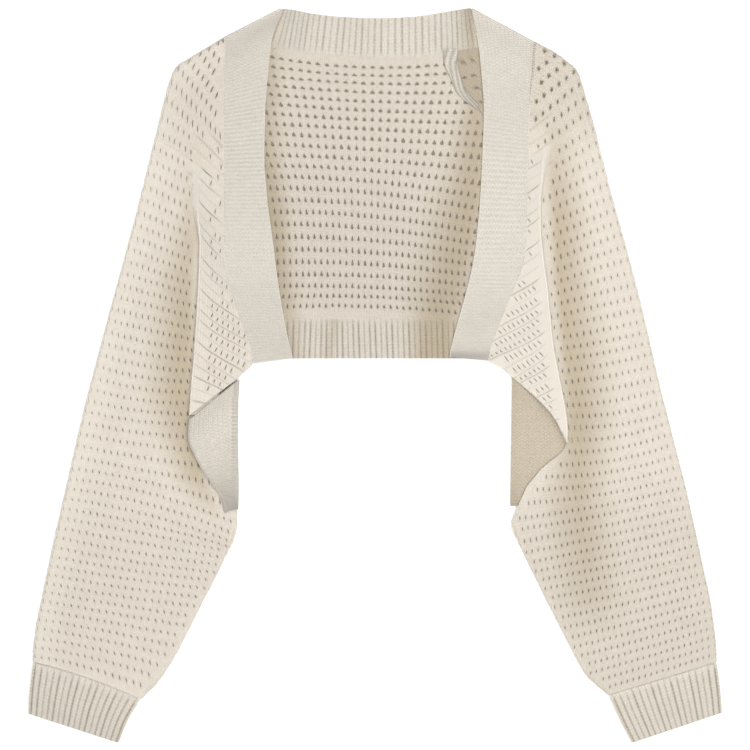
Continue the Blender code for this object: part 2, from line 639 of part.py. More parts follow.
def left_underarm(name, sleeve):
    """Plain band below the left front panel, on the sleeve: edge turned under by its
    fold, the inner edge curled down over the sleeve's underarm fold."""
    stops = 6 * np.linspace(0, 1, 11) ** 1.2
    along = len(stops) - 1
    rows = resample(LEFT_UNDERARM, UNDERARM_COLUMNS, stops)
    outer, inner = plan(rows["outer_x"], rows["outer_y"]), plan(rows["inner_x"], rows["inner_y"])
    outer[0, 1] -= 2 * SEAM
    inner[0, 1] -= 2 * SEAM
    way_out = side_way(outer, inner)
    radius = EDGE_REACH + SEAM + WALL / 2
    middle, normal = [], []
    for i in range(along + 1):
        turn, room = pleat_turn(rows["fold"][i] * UNIT)
        lifted = pleat_height(turn, room) / 2
        low = FRONT_MID + PLEAT_RISE
        top = low + lifted
        reach = PLEAT_REACH * math.sin(turn / 2) ** 2
        start = np.array([*(outer[i] + way_out[i] * reach), top])
        under = arc(np.zeros(3), way_out[i], turn, -turn, BEND_LENGTH, BEND_STEPS)
        shift = start - under[0][-1]
        tail = shift - room * lean(way_out[i], turn)
        points = [tail, shift] + [p + shift for p in under[0]]
        flat = lean(way_out[i], turn + math.pi / 2)
        normals = [flat, flat] + under[1]
        bend = rows["curl"][i] * math.pi / 2
        turned = ease(stops[i])
        away = unit(unit(inner[i] - outer[i]) * (1 - turned) + np.array([1.0, 0.0]) * turned)
        reach = radius * math.sin(bend) + WALL / 2 * math.sin(bend)
        end = np.array([*(inner[i] - away * reach), low])
        run = straight(points[-1], end, 4)
        for k, point in enumerate(run):
            level = top + (low - top) * ease((k + 1) / 4)
            below_panel = ease((CENTRE - point[1] / UNIT - PANEL_LOW) / 12)
            pleat = FRONT_MID + sleeve.lift(point[0], point[1]) * (1 - below_panel)
            level = max(level, pleat)
            run[k] = np.array([point[0], point[1], level])
        low = run[-1][2]
        points += run
        normals += [UP] * 4
        down = arc(run[-1], away, 0.0, -bend, max(radius * bend, 0.0008), 4)
        points += down[0]
        normals += down[1]
        middle.append(points)
        normal.append(normals)
    middle, normal = np.array(middle), np.array(normal)
    half = np.full(middle.shape[:2], WALL / 2)
    keep = np.ones((along, middle.shape[1] - 1), bool)
    return add_wall(name, middle, normal, half, half, keep)


def right_underarm(name, sleeve):
    """Plain band turned in under the right front panel, in the back layer: its outer
    edge follows the sleeve's back edge."""
    across = 5
    high, low = RIGHT_UNDERARM
    inside = (sleeve.back_y > high[1] - 1) & (sleeve.back_y < low[1])
    way = side_way(sleeve.back, sleeve.back - np.array([1.0, 0.0]))
    outer = (sleeve.back + way * UNDERARM_INSET)[inside]
    edge_y = CENTRE - outer[:, 1] / UNIT
    inner = plan(np.interp(edge_y, (high[1], low[1]), (high[0], low[0])), edge_y)
    rows = len(outer)
    middle = np.zeros((rows, across + 1, 3))
    for j in range(across + 1):
        t = j / across
        middle[:, j, :2] = inner * (1 - t) + outer * t
    middle[..., 2] = BACK_MID
    normal = np.zeros_like(middle)
    normal[..., 2] = 1
    half = np.full(middle.shape[:2], WALL / 2)
    return add_wall(name, middle, normal, half, half, np.ones((rows - 1, across), bool))


def cuff(name, table):
    """Ribbed tube, pressed flat, from the sleeve's end to the hand."""
    deep = 2
    count = CUFF_RIBS * RIB_STEPS
    rows = resample(table, CUFF_COLUMNS, np.linspace(0, len(table) - 1, deep + 1))
    outer, inner = plan(rows["outer_x"], rows["outer_y"]), plan(rows["inner_x"], rows["inner_y"])
    radius = FOLD_RISE / 2
    base = RIB_RISE + RIB_WALL / 2 + radius
    middle = np.zeros((deep + 1, count, 3))
    normal = np.zeros_like(middle)
    for i in range(deep + 1):
        way = unit(inner[i] - outer[i])
        inset = radius + RIB_WALL / 2 + RIB_RISE
        flat = np.linalg.norm(inner[i] - outer[i]) - 2 * inset
        around = 2 * flat + 2 * math.pi * radius
        for j in range(count):
            s = around * ((j + 0.5) / count)
            if s < flat:
                along, angle = s, math.pi / 2
            elif s < flat + math.pi * radius:
                along, angle = flat, math.pi / 2 - (s - flat) / radius
            elif s < 2 * flat + math.pi * radius:
                along, angle = 2 * flat + math.pi * radius - s, -math.pi / 2
            else:
                along, angle = 0.0, -math.pi / 2 - (s - 2 * flat - math.pi * radius) / radius
            centre = np.array([*(outer[i] + way * (inset + along)), base])
            normal[i, j] = lean(way, angle)
            middle[i, j] = centre + radius * normal[i, j]
    half = np.full(middle.shape[:2], RIB_WALL / 2)
    rise = np.tile(rib_profile(count) * RIB_RISE, (deep + 1, 1))
    return add_wall(name, middle, normal, half + rise, half, np.ones((deep, count), bool), ring=True)


def back_roll(name):
    """Roll of the right back seam, moved out from the back panel's upper face."""
    across, along = 6, 10
    rows = resample(BACK_ROLL, ROLL_COLUMNS, np.linspace(0, len(BACK_ROLL) - 1, along + 1))
    line = plan(rows["x"], rows["y"])
    square = side_way(line, line + np.array([1.0, 0.0]))
    middle = np.zeros((along + 1, across + 1, 3))
    half = np.zeros((along + 1, across + 1))
    for i in range(along + 1):
        end = 1 - 0.55 * ease((i / along - 0.6) / 0.4)
        for j in range(across + 1):
            t = 2 * j / across - 1
            middle[i, j, :2] = line[i] + square[i] * t * rows["width"][i] * UNIT / 2
            half[i, j] = (0.00045 + 0.00065 * math.sqrt(max(1 - t * t, 0.0))) * end
    middle[..., 2] = WALL + 2 * SEAM + half
    normal = np.zeros_like(middle)
    normal[..., 2] = 1
    return add_wall(name, middle, normal, half, half, np.ones((along, across), bool))


left = Sleeve(LEFT_PANEL, LEFT_ARM, 1.0)
right = Sleeve(RIGHT_PANEL, RIGHT_ARM, -1.0)
finish_piece(left.build("sleeve_left"), OPENWORK)
finish_piece(right.build("sleeve_right"), OPENWORK)
finish_piece(back_panel("back_panel", left, right), OPENWORK)
finish_piece(neckband("neckband"), RIBBED)
finish_piece(back_hem("back_hem", left, right), RIBBED)
finish_piece(cuff("cuff_left", LEFT_CUFF), RIBBED)
finish_piece(cuff("cuff_right", RIGHT_CUFF), RIBBED)
finish_piece(front_band("front_band_left", LEFT_BAND, left), PLAIN)
finish_piece(front_band("front_band_right", RIGHT_BAND, right), PLAIN)
finish_piece(left_underarm("underarm_band_left", left), PLAIN)
finish_piece(right_underarm("underarm_band_right", right), PLAIN)
finish_piece(back_roll("back_seam_right"), PLAIN)
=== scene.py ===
import math

import bpy
import numpy as np
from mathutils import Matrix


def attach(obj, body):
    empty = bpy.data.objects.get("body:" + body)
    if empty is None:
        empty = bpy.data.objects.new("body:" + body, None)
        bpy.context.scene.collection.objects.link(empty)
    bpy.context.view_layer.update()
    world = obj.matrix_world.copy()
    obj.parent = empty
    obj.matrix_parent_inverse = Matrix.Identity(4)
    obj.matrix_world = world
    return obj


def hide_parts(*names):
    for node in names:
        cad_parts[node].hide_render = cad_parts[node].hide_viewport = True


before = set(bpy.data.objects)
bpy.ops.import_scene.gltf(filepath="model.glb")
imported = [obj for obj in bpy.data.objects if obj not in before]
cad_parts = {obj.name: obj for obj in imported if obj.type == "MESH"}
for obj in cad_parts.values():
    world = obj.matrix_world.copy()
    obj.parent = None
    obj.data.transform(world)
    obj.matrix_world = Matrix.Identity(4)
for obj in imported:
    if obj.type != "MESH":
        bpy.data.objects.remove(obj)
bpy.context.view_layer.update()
bpy.ops.object.select_all(action="DESELECT")


# Back panel. One piece of cotton knit with its inside upwards, where the open fronts
# show it: rows of eyelets between faint ridges. It is linked to the neckband above, the
# ribbed hem below and the sleeves at its sides. Places on the plan are counted in chart
# units from the chart's upper left corner, as on a knitter's drawing.
UNIT, CENTRE = 0.00095, 375.0
WALL = 0.0022
HALF = WALL / 2
BACK_MID = HALF
STITCHES, COURSES = 1, 3  # of plain knit in one cell of the openwork
RIDGE, WALE_RISE, UNEVEN = 0.00035, 0.00012, 0.00008
FINE_COLUMNS, FINE_LINES = (0, 0.15, 0.5, 0.85, 1), (0, 0.09, 0.18, 0.5, 0.82, 0.91, 1)
CORNER_U, CORNER_V = np.array([0, 1, 1, 0]), np.array([0, 0, 1, 1])
SLIVER, WHOLE, SHUT = 0.004, 0.85, 0.02  # least cell, least cell with an eyelet, least eyelet
UNLIKE, ASKEW, TILT = 0.24, 0.06, 0.05  # how far an eyelet's size, place and lean vary
LIP, LIP_RISE, STRAND, STRAND_WAY = 0.045, 0.0001, 0.0003, 0.7  # the yarn round an eyelet
LIP_ACROSS, LIP_DOWN = 0.34, 0.31  # how far that yarn may lie from its cell's middle
RIM_DROP, FOOT = 0.0004, 0.25  # an eyelet's rim, and its width where it is narrowest
UNDERSIDE = 0.2  # shade of a wall's lower face
SHARP = math.radians(75)
BACK_NECK_X = (228.5, 250, 274, 305, 340, 374, 412, 448, 478, 504, 534.4)
BACK_NECK_Y = (39.9, 44.2, 48.5, 52, 54.7, 56.8, 56.4, 52.6, 48.2, 46.4, 46.8)
BACK_HEM_Y, BACK_AXIS = 319.7, 368.0
# Row of eyelets, its height at the axis, its pitch, its tilt and bow 100 units out.
BACK_ROWS = (
    (0, 53.5, 9.2, 2.5, -9), (1.5, 67.7, 9.1, 2.6, -8.6), (3.5, 83.6, 8.9, 3.1, -4.8),
    (5.5, 101.4, 8.45, 4.2, -3.2), (8.5, 129.2, 7.95, 5, -1), (11.5, 159.6, 7.45, 6.9, 2),
    (13.5, 181.1, 6.9, 9, 4.4), (16.5, 216, 6.45, 9.4, 5.3), (19.5, 252, 6.25, 7, 5),
    (22.5, 286.9, 6.2, 4.3, 4), (24.5, 306.2, 6.45, 3, 4.5), (25.7, 320.5, 6.6, 2.5, 4),
)
BACK_LEFT = (
    (40, 266), (76, 257), (116, 243), (160, 237), (206, 235), (300, 234.6), (325, 235.2),
)
BACK_RIGHT = (
    (40, 446), (52.7, 446.7), (76, 455), (90, 463), (114, 481), (130, 489), (172, 501), (222, 508),
    (274, 512), (325, 514.8),
)
COTTON = (0.84, 0.775, 0.68)
COTTON_BAND = (0.775, 0.725, 0.647)
COTTON_RIB = (0.86, 0.805, 0.715)
# Colour of painted shade in hollows, creases and stitch valleys, and of random mottle.
COTTON_SHADE_AND_MOTTLE = (0.27, 0.215, 0.145)
COTTON_WARM_PAINTED_SHADE = (0.60, 0.51, 0.375)  # painted brownish shade, where the cloth turns away into a fold
# Soft shade: height, its middle, strength, reach to the left and to the right.
BACK_SHADE_LEFT = (
    (48, 270, 0.5, 9, 20), (75, 268, 0.7, 9, 22), (112, 264, 0.75, 9, 26), (160, 262, 0.95, 9, 30),
    (215, 272, 1.15, 9, 26), (270, 278, 0.95, 9, 24), (320, 286, 0.7, 9, 22),
    (360, 292, 0.6, 9, 20),
)
BACK_SHADE_RIGHT = (
    (25, 474, 0.85, 22, 20), (48, 474, 0.65, 22, 20), (80, 478, 0.8, 16, 20),
    (125, 478, 0.95, 32, 20), (180, 474, 1.05, 46, 20), (235, 466, 1.05, 62, 20),
    (295, 446, 1.1, 52, 40), (320, 438, 1.1, 44, 40), (360, 434, 1.25, 36, 40),
)


def plan(x, y):
    """Points in metres of places on the chart."""
    return np.stack([(x - CENTRE) * UNIT, (CENTRE - y) * UNIT], axis=-1)


def on_chart(points):
    """Places on the chart, across and down, of points in metres."""
    return points[..., 0] / UNIT + CENTRE, CENTRE - points[..., 1] / UNIT


def read(table, at):
    """A table's other columns at values of its first, on a smooth curve."""
    rows = np.array(table, float)
    knots, values = rows[:, 0], rows[:, 1:]
    at = np.clip(np.asarray(at, float), knots[0], knots[-1])
    k = np.clip(np.searchsorted(knots, at, side="right") - 1, 0, len(knots) - 2)
    width = np.diff(knots)[:, None]
    step = np.diff(values, axis=0) / width
    together = step[:-1] * step[1:] > 0
    total = np.where(together, step[:-1] + step[1:], 1.0)
    inside = np.where(together, 2 * step[:-1] * step[1:] / total, 0.0)
    slope = np.vstack([step[:1], inside, step[-1:]])
    t = ((at - knots[k]) / width[k, 0])[..., None]
    return (
        (2 * t**3 - 3 * t**2 + 1) * values[k]
        + (t**3 - 2 * t**2 + t) * width[k] * slope[k]
        + (3 * t**2 - 2 * t**3) * values[k + 1]
        + (t**3 - t**2) * width[k] * slope[k + 1]
    )


def ease(t):
    """0 to 1 with a soft start and end."""
    t = np.clip(t, 0.0, 1.0)
    return t * t * (3 - 2 * t)


def unit(v):
    return v / np.maximum(np.linalg.norm(v, axis=-1, keepdims=True), 1e-12)


def spread(*grids):
    """The grids as float arrays of one shape."""
    return [np.array(grid, float) for grid in np.broadcast_arrays(*grids)]


def soft_shade(x, y, table):
    """Strength of the shade along a line down the plan, fading to both sides."""
    rows = np.array(table, float)
    middle, strength, left, right = (np.interp(y, rows[:, 0], rows[:, k]) for k in (1, 2, 3, 4))
    away = x - middle
    return strength * (1 - ease(np.abs(away) / np.where(away < 0, left, right)))


def back_shade(x, y):
    """Shade on the back beside both front bands."""
    return np.maximum(soft_shade(x, y, BACK_SHADE_LEFT), soft_shade(x, y, BACK_SHADE_RIGHT))


def add_mesh(name, points, faces, uv, depth, painted_warm_shade):
    """A mesh object with its stitch map and each point's painted shade, plain and brownish."""
    data = bpy.data.meshes.new(name)
    data.from_pydata(points.tolist(), [], faces)
    data.update()
    corner = np.zeros(len(data.loops), np.int32)
    data.loops.foreach_get("vertex_index", corner)
    stitches = data.uv_layers.new(name="stitches")
    stitches.data.foreach_set("uv", uv[corner].astype(np.float32).ravel())
    for kind, values in (("depth", depth), ("painted_warm_shade", painted_warm_shade)):
        stored = data.attributes.new(kind, "FLOAT", "POINT")
        stored.data.foreach_set("value", values.astype(np.float32))
    data.shade_smooth()
    data.set_sharp_from_angle(angle=SHARP)
    piece = bpy.data.objects.new(name, data)
    bpy.context.scene.collection.objects.link(piece)
    return piece


def eyelet_cell(columns, lines):
    """One cell of openwork: its net, its faces plain and round an eyelet, the eyelet's loop."""
    across = len(columns)
    net = np.array([(column, line) for line in lines for column in columns], float).T
    left, right, top, low = 1, across - 2, 2, len(lines) - 3
    corner = lambda r, c: r * across + c
    square = lambda r, c: (corner(r, c), corner(r, c + 1), corner(r + 1, c + 1), corner(r + 1, c))
    squares = [(r, c) for r in range(len(lines) - 1) for c in range(across - 1)]
    plain = [square(r, c) for r, c in squares]
    opened = [square(r, c) for r, c in squares if not (left <= c < right and top <= r < low)]
    loop = (
        [corner(top, c) for c in range(left, right)]
        + [corner(r, right) for r in range(top, low)]
        + [corner(low, c) for c in range(right, left, -1)]
        + [corner(r, left) for r in range(low, top, -1)]
    )
    return net, np.array(plain), np.array(opened), np.array(loop)


def knit_panel(name, place, fit, wales, rows, eyelet, relief, shade, seed=1,
               columns=FINE_COLUMNS, lines=FINE_LINES, both_faces=True):
    """A wall of openwork, its cells laid out by wale and row and mapped by place.

    It comes with the area of its middle surface, eyelets and all.
    """
    (net_u, net_v), plain, opened, loop = eyelet_cell(columns, lines)
    i, j = (grid.ravel() for grid in np.meshgrid(np.arange(*wales), np.arange(*rows)))
    cu, cv = fit(i[:, None] + CORNER_U, j[:, None] + CORNER_V, j[:, None])
    size = 0.5 * np.abs(
        (cu[:, 2] - cu[:, 0]) * (cv[:, 3] - cv[:, 1]) - (cu[:, 3] - cu[:, 1]) * (cv[:, 2] - cv[:, 0])
    )
    i, j, cu, cv, size = (each[size > SLIVER] for each in (i, j, cu, cv, size))
    corners = place(cu.ravel(), cv.ravel())[0].reshape(-1, 4, 3)
    diagonals = corners[:, 2] - corners[:, 0], corners[:, 3] - corners[:, 1]
    area = float(np.linalg.norm(np.cross(*diagonals), axis=1).sum() / 2)

    wide, high, lean, point, painted_eyelet_shade = eyelet(i + 0.5, j + 0.5)
    chance = np.random.default_rng(seed).random((5, len(i))) - 0.5
    wide = wide * (1 + UNLIKE * chance[0])
    high = high * (1 + UNLIKE * chance[1])
    lean = lean + TILT * chance[4]
    has_eyelet = (wide > SHUT) & (size > WHOLE)
    around = np.arange(len(loop))
    turns = np.linspace(0, 2 * math.pi, len(loop), endpoint=False) - 0.75 * math.pi
    ring_x, ring_y = np.cos(turns), np.sin(turns)
    strand = STRAND * np.maximum(0, math.sin(STRAND_WAY) * ring_y - math.cos(STRAND_WAY) * ring_x)
    stores, faces, base = [[] for _ in range(5)], [], 0

    def add(*values):
        """Points of each cell: u, v, side, drop and painted shade; the number of each cell's first.
        """
        nonlocal base
        shape = values[0].shape
        for store, value in zip(stores, values):
            store.append(np.broadcast_to(value, shape).ravel())
        base += values[0].size
        return base - values[0].size + np.arange(shape[0])[:, None] * shape[1]

    for cells, has_hole in ((has_eyelet, True), (~has_eyelet, False)):
        if not cells.any():
            continue
        uu, vv = fit(i[cells, None] + net_u, j[cells, None] + net_v, j[cells, None])
        # A little painted shade round each eyelet's loop.
        loop_painted_shade = np.zeros(len(net_u))
        loop_painted_shade[loop] = 0.03 * has_hole
        high_net = add(uu, vv, 0, 0.0, loop_painted_shade)
        low_net = add(uu, vv, 1, 0.0, UNDERSIDE)
        pattern = opened if has_hole else plain
        faces.append((high_net[:, :, None] + pattern[None]).reshape(-1, 4))
        faces.append((low_net[:, :, None] + pattern[None, :, ::-1]).reshape(-1, 4))
        if not has_hole:
            continue
        # Painted shade inside each eyelet: most at its foot, less at its rims, least at its lip.
        tip, painted_hole_shade = point[cells, None], painted_eyelet_shade[cells, None]
        middle_u, middle_v = i[cells, None] + 0.5, j[cells, None] + 0.5
        squeeze = 1 + tip * (0.6 * ring_y - 0.25)
        stretch = np.where(ring_y < -0.9, 1 + 0.25 * tip, 1.0) - 0.15 * tip * (ring_y > 0.9)
        off_u = ASKEW * chance[2, cells, None] + wide[cells, None] * ring_x * squeeze
        off_u = off_u + lean[cells, None] * ring_y * 0.5
        off_v = ASKEW * chance[3, cells, None] + high[cells, None] * ring_y * stretch
        rim_uv = middle_u + off_u, middle_v + off_v
        lip_u = middle_u + np.clip(off_u + LIP * ring_x, -LIP_ACROSS, LIP_ACROSS)
        lip_v = middle_v + np.clip(off_v + LIP * ring_y, -LIP_DOWN, LIP_DOWN)
        foot_uv = middle_u + off_u * FOOT, middle_v + off_v * FOOT
        rim = add(*rim_uv, 0, RIM_DROP, 0.75 * painted_hole_shade)
        rings = [add(lip_u, lip_v, 0, -LIP_RISE - strand, 0.06 * painted_hole_shade), rim]
        if both_faces:
            rings.append(add(*foot_uv, 0, HALF, painted_hole_shade))
            rings.append(add(*rim_uv, 1, 0.0, 0.4 * painted_hole_shade))
        else:
            rings.append(add(*foot_uv, 1, 0.0, painted_hole_shade))
        rings = [high_net + loop, *(ring + around for ring in rings), low_net + loop]
        for a, b in zip(rings, rings[1:]):
            quads = np.stack([a, np.roll(a, -1, axis=1), np.roll(b, -1, axis=1), b], axis=-1)
            faces.append(quads.reshape(-1, 4))

    u, v, side, drop, depth = (np.concatenate(store) for store in stores)
    key_u, key_v = (np.round((way + 64) * 4096).astype(np.int64) for way in (u, v))
    key = (key_u << 32) + (key_v << 1) + side
    kept, first, number = np.unique(key, return_index=True, return_inverse=True)
    u, v, side, drop, depth = (each[first] for each in (u, v, side, drop, depth))
    middle, normal = place(u, v)
    # Painted shade, painted brownish shade and a dip of the surface at each point.
    added_painted_shade, painted_warm_shade, dip = shade(*on_chart(middle), u, v)
    middle = middle - normal * dip[:, None]
    out = np.where(side == 0, HALF + relief(u, v) - drop, -HALF)
    points = middle + normal * out[:, None]
    faces = right_way(close_rim(number[np.concatenate(faces)], kept, side), points, middle)
    uv = np.stack([u * STITCHES, -v * COURSES], axis=-1)
    return add_mesh(name, points, faces, uv, depth + added_painted_shade, painted_warm_shade), area


def close_rim(faces, kept, side):
    """Faces without the flat ones, and with the wall's edges closed."""
    a, b, c, d = faces.T
    good = (a != c) & (b != d)
    same = (a == b).astype(int) + (b == c) + (c == d) + (d == a)
    quads, thin = faces[good & (same == 0)], faces[good & (same == 1)]
    triangles = [[f[k] for k in range(4) if f[k] != f[(k + 1) % 4]] for f in thin.tolist()]
    triangles = np.array(triangles, int).reshape(-1, 3)
    edges = np.concatenate(
        [quads[:, [k, (k + 1) % 4]] for k in range(4)]
        + [triangles[:, [k, (k + 1) % 3]] for k in range(3)]
    )
    ordered = np.sort(edges, axis=1)
    code = ordered[:, 0].astype(np.int64) * len(kept) + ordered[:, 1]
    _, where, count = np.unique(code, return_index=True, return_counts=True)
    free = edges[where[count == 1]]
    free = free[(side[free] == 0).all(axis=1)]
    twin = np.searchsorted(kept, kept[free] + 1)
    rim = np.concatenate([free[:, ::-1], twin], axis=1)
    return quads.tolist() + rim.tolist() + triangles.tolist()


def right_way(faces, points, middle):
    """The faces turned so that they point out of the wall."""
    total = 0.0
    for f in faces[:: max(1, len(faces) // 4000)]:
        p = points[f]
        across = np.cross(p[1] - p[0], p[2] - p[0])
        total += across @ (p.mean(0) - middle[f].mean(0))
    return faces if total > 0 else [f[::-1] for f in faces]


def openwork_relief(ridge, wale):
    """Height over the wall: a ridge between two rows of eyelets, and soft wales."""
    def height(u, v):
        between = np.abs(v - np.round(v))
        crest = np.exp(-((between / 0.11) ** 2)) + 0.25 * np.cos(4 * math.pi * v)
        soft = np.sin(2.3 * u + 1.7 * np.sin(0.9 * v)) * np.sin(1.9 * v + 1.3 * np.sin(0.7 * u))
        stitch = 0.5 + 0.5 * np.cos(2 * math.pi * u * STITCHES)
        return ridge * crest * (0.75 + 0.25 * stitch) + wale * np.cos(2 * math.pi * u) + UNEVEN * soft
    return height


def back_map():
    """Place and bounds of the back panel's cells."""
    neck = lambda x: np.interp(x, BACK_NECK_X, BACK_NECK_Y)
    trial = np.linspace(0, BACK_ROWS[-1][0], 400)

    def grid(u, v):
        y, pitch, tilt, bow = read(BACK_ROWS, v).T
        x = BACK_AXIS + u * pitch
        off = (x - BACK_AXIS) / 100
        return x, y + tilt * off + bow * off**2

    def fit(u, v, j):
        u, v = spread(u, v)
        shape = u.shape
        u, v = u.ravel(), v.ravel()
        for _ in range(3):
            x, y = grid(u, v)
            low, high = (np.interp(y, *np.array(edge).T) for edge in (BACK_LEFT, BACK_RIGHT))
            u = np.clip(u, *((edge - BACK_AXIS) / read(BACK_ROWS, v)[:, 1] for edge in (low, high)))
        wale = np.round(u * 8) / 8
        for w in np.unique(wale):
            here = wale == w
            x, y = grid(np.full(len(trial), w), trial)
            first = trial[np.argmax(y >= neck(x))]
            last = trial[len(y) - 1 - np.argmax((y <= BACK_HEM_Y)[::-1])]
            v[here] = np.clip(v[here], first, last)
        return u.reshape(shape), v.reshape(shape)

    def place(u, v):
        x, y = grid(u, v)
        point = plan(x, np.clip(y, neck(x), BACK_HEM_Y))
        point = np.concatenate([point, np.full((len(x), 1), BACK_MID)], axis=1)
        return point, np.tile([0.0, 0.0, 1.0], (len(x), 1))

    return place, fit


def back_eyelets(u, v):
    """Teardrops, flatter towards the neck and small by the hem."""
    one = np.ones(len(u))
    flat, last = 1 - ease((v - 3) / 4), ease(v - 24)
    wide = 0.25 + 0.04 * flat - 0.03 * ease((v - 9) / 6) - 0.03 * last
    # The last value is the painted shade inside each eyelet.
    return wide, 0.2 - 0.05 * flat - 0.07 * last, 0.04 * one, one, 0.85 * one


def shade_of_back(x, y, u, v):
    return 0 * x, back_shade(x, y), 0 * x


def set_inputs(node, values):
    for name, value in values.items():
        node.inputs[name].default_value = value


def knit_yarn_group():
    """Node group: plain stitches as pairs of slanting legs, with fuzz and soft shade."""
    group = bpy.data.node_groups.new("knit yarn", "ShaderNodeTree")
    for way, kind, names in (
        ("INPUT", "Vector", ("Stitch map", "Place")),
        ("INPUT", "Color", ("Colour", "Shade and mottle colour", "Warm colour")),
        ("INPUT", "Float", ("Valley shade and speck", "Slant", "Painted_warm_shade", "Across", "Along", "Depth")),
        ("OUTPUT", "Color", ("Colour",)),
        ("OUTPUT", "Float", ("Height",)),
    ):
        for name in names:
            group.interface.new_socket(name, in_out=way, socket_type="NodeSocket" + kind)
    nodes, links = group.nodes, group.links
    given = nodes.new("NodeGroupInput")
    result = nodes.new("NodeGroupOutput")

    def maths(kind):
        """The sum of this kind, as a function of numbers and sockets."""
        def of(*terms):
            node = nodes.new("ShaderNodeMath")
            node.operation = kind
            for entry, term in zip(node.inputs, terms):
                if isinstance(term, (int, float)):
                    entry.default_value = term
                else:
                    links.new(term, entry)
            return node.outputs[0]
        return of

    def noise(spots, detail):
        """Soft noise with this many spots to a metre."""
        node = nodes.new("ShaderNodeTexNoise")
        set_inputs(node, {"Scale": spots, "Detail": detail})
        links.new(given.outputs["Place"], node.inputs["Vector"])
        return node.outputs[0]

    def mixed(amount, first, second):
        node = nodes.new("ShaderNodeMix")
        node.data_type = "RGBA"
        links.new(most(least(amount, 1.0), 0.0), node.inputs["Factor"])
        links.new(first, node.inputs[6])
        links.new(second, node.inputs[7])
        return node.outputs[2]

    plus, less, times, least, most, sine, size, fraction = map(maths, (
        "ADD", "SUBTRACT", "MULTIPLY", "MINIMUM", "MAXIMUM", "SINE", "ABSOLUTE", "FRACT",
    ))
    valley_shade_and_speck, deep = given.outputs["Valley shade and speck"], given.outputs["Depth"]
    split = nodes.new("ShaderNodeSeparateXYZ")
    links.new(given.outputs["Stitch map"], split.inputs[0])
    u = times(split.outputs["X"], given.outputs["Across"])
    v = times(split.outputs["Y"], given.outputs["Along"])
    off = size(less(fraction(u), 0.5))
    course = fraction(less(v, times(off, given.outputs["Slant"])))
    leg = less(1.0, times(size(less(off, 0.25)), 2.6))
    loop = sine(times(course, math.pi))
    stitch = times(leg, plus(0.15, times(loop, 0.85)))
    fuzz, slub = noise(850.0, 3.0), noise(90.0, 2.0)
    links.new(plus(stitch, times(fuzz, 0.5)), result.inputs["Height"])
    # Painted shade in the stitches' valleys and from the painted shade attribute, with random mottle.
    valley = times(less(1.0, stitch), valley_shade_and_speck)
    patch = times(less(slub, 0.5), 0.12)
    speck = times(times(less(fuzz, 0.5), valley_shade_and_speck), 2.2)
    shade = plus(plus(valley, plus(patch, speck)), deep)
    # Painted brownish shade first, then painted shade and random mottle.
    turned = mixed(given.outputs["Painted_warm_shade"], given.outputs["Colour"], given.outputs["Warm colour"])
    links.new(mixed(shade, turned, given.outputs["Shade and mottle colour"]), result.inputs["Colour"])
    return group


def cotton_finish(name, colour, slant, valley_shade_and_speck, bumps, stitches=1, courses=1):
    """Matt cotton yarn: its stitches, their twist and the shade between them."""
    material = bpy.data.materials.new(name)
    material.use_nodes = True
    nodes, links = material.node_tree.nodes, material.node_tree.links
    shader = nodes["Principled BSDF"]
    set_inputs(shader, {"Roughness": 0.9, "Sheen Weight": 0.25, "Sheen Roughness": 0.5})
    bump = nodes.new("ShaderNodeBump")
    set_inputs(bump, {"Distance": bumps, "Strength": 1.0})
    yarn = nodes.new("ShaderNodeGroup")
    yarn.node_tree = KNIT_YARN
    set_inputs(yarn, {
        "Colour": (*colour, 1), "Shade and mottle colour": (*COTTON_SHADE_AND_MOTTLE, 1), "Warm colour": (*COTTON_WARM_PAINTED_SHADE, 1),
        "Valley shade and speck": valley_shade_and_speck, "Slant": slant, "Across": stitches, "Along": courses,
    })
    for kind in ("Depth", "Painted_warm_shade"):
        stored = nodes.new("ShaderNodeAttribute")
        stored.attribute_name = kind.lower()
        links.new(stored.outputs["Fac"], yarn.inputs[kind])
    where = nodes.new("ShaderNodeUVMap")
    where.uv_map = "stitches"
    links.new(where.outputs["UV"], yarn.inputs["Stitch map"])
    place = nodes.new("ShaderNodeTexCoord")
    links.new(place.outputs["Object"], yarn.inputs["Place"])
    links.new(yarn.outputs["Colour"], shader.inputs["Base Color"])
    links.new(yarn.outputs["Height"], bump.inputs["Height"])
    links.new(bump.outputs["Normal"], shader.inputs["Normal"])
    return material


KNIT_YARN = knit_yarn_group()
INSIDE = cotton_finish("openwork cotton, inside", COTTON, 2.4, 0.5, 0.0007, 2, 1.4)
back_place, back_fit = back_map()
back_panel, back_area = knit_panel(
    "back_panel_knit", back_place, back_fit, (-24, 24), (0, 26), back_eyelets,
    openwork_relief(RIDGE, WALE_RISE), shade_of_back, seed=3,
)
back_panel.data.materials.append(INSIDE)
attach(back_panel, "root")
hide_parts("back_panel")


# Sleeves and front panels. One shaped piece of openwork on each side: its back layer
# and front layer lie flat on each other from the fold at the arm's outer edge, and a
# pleat lays the front panel over the sleeve. All of it is linked, none of it is lined.
LAYER_GAP, PLEAT_GAP, PLEAT_ROOM, SEAM = 0.0016, 0.0004, 0.0004, 0.0003
FOLD_RISE = WALL + LAYER_GAP
FRONT_MID = BACK_MID + FOLD_RISE
SEAM_MID = BACK_MID + FOLD_RISE / 2
FOLD_RADIUS = FOLD_RISE / 2
EDGE_REACH = FOLD_RADIUS + HALF
CURL_LENGTH = FOLD_RADIUS * math.pi / 2
PLEAT_RISE = WALL + PLEAT_GAP
PLEAT_REACH = PLEAT_RISE / 2 + HALF
BEND_LENGTH = PLEAT_RISE / 2 * math.pi
BAND_DROOP, DROOP_WIDTH, LIFT_FADE, PUFF = 0.0011, 0.014, 0.023, 0.0010
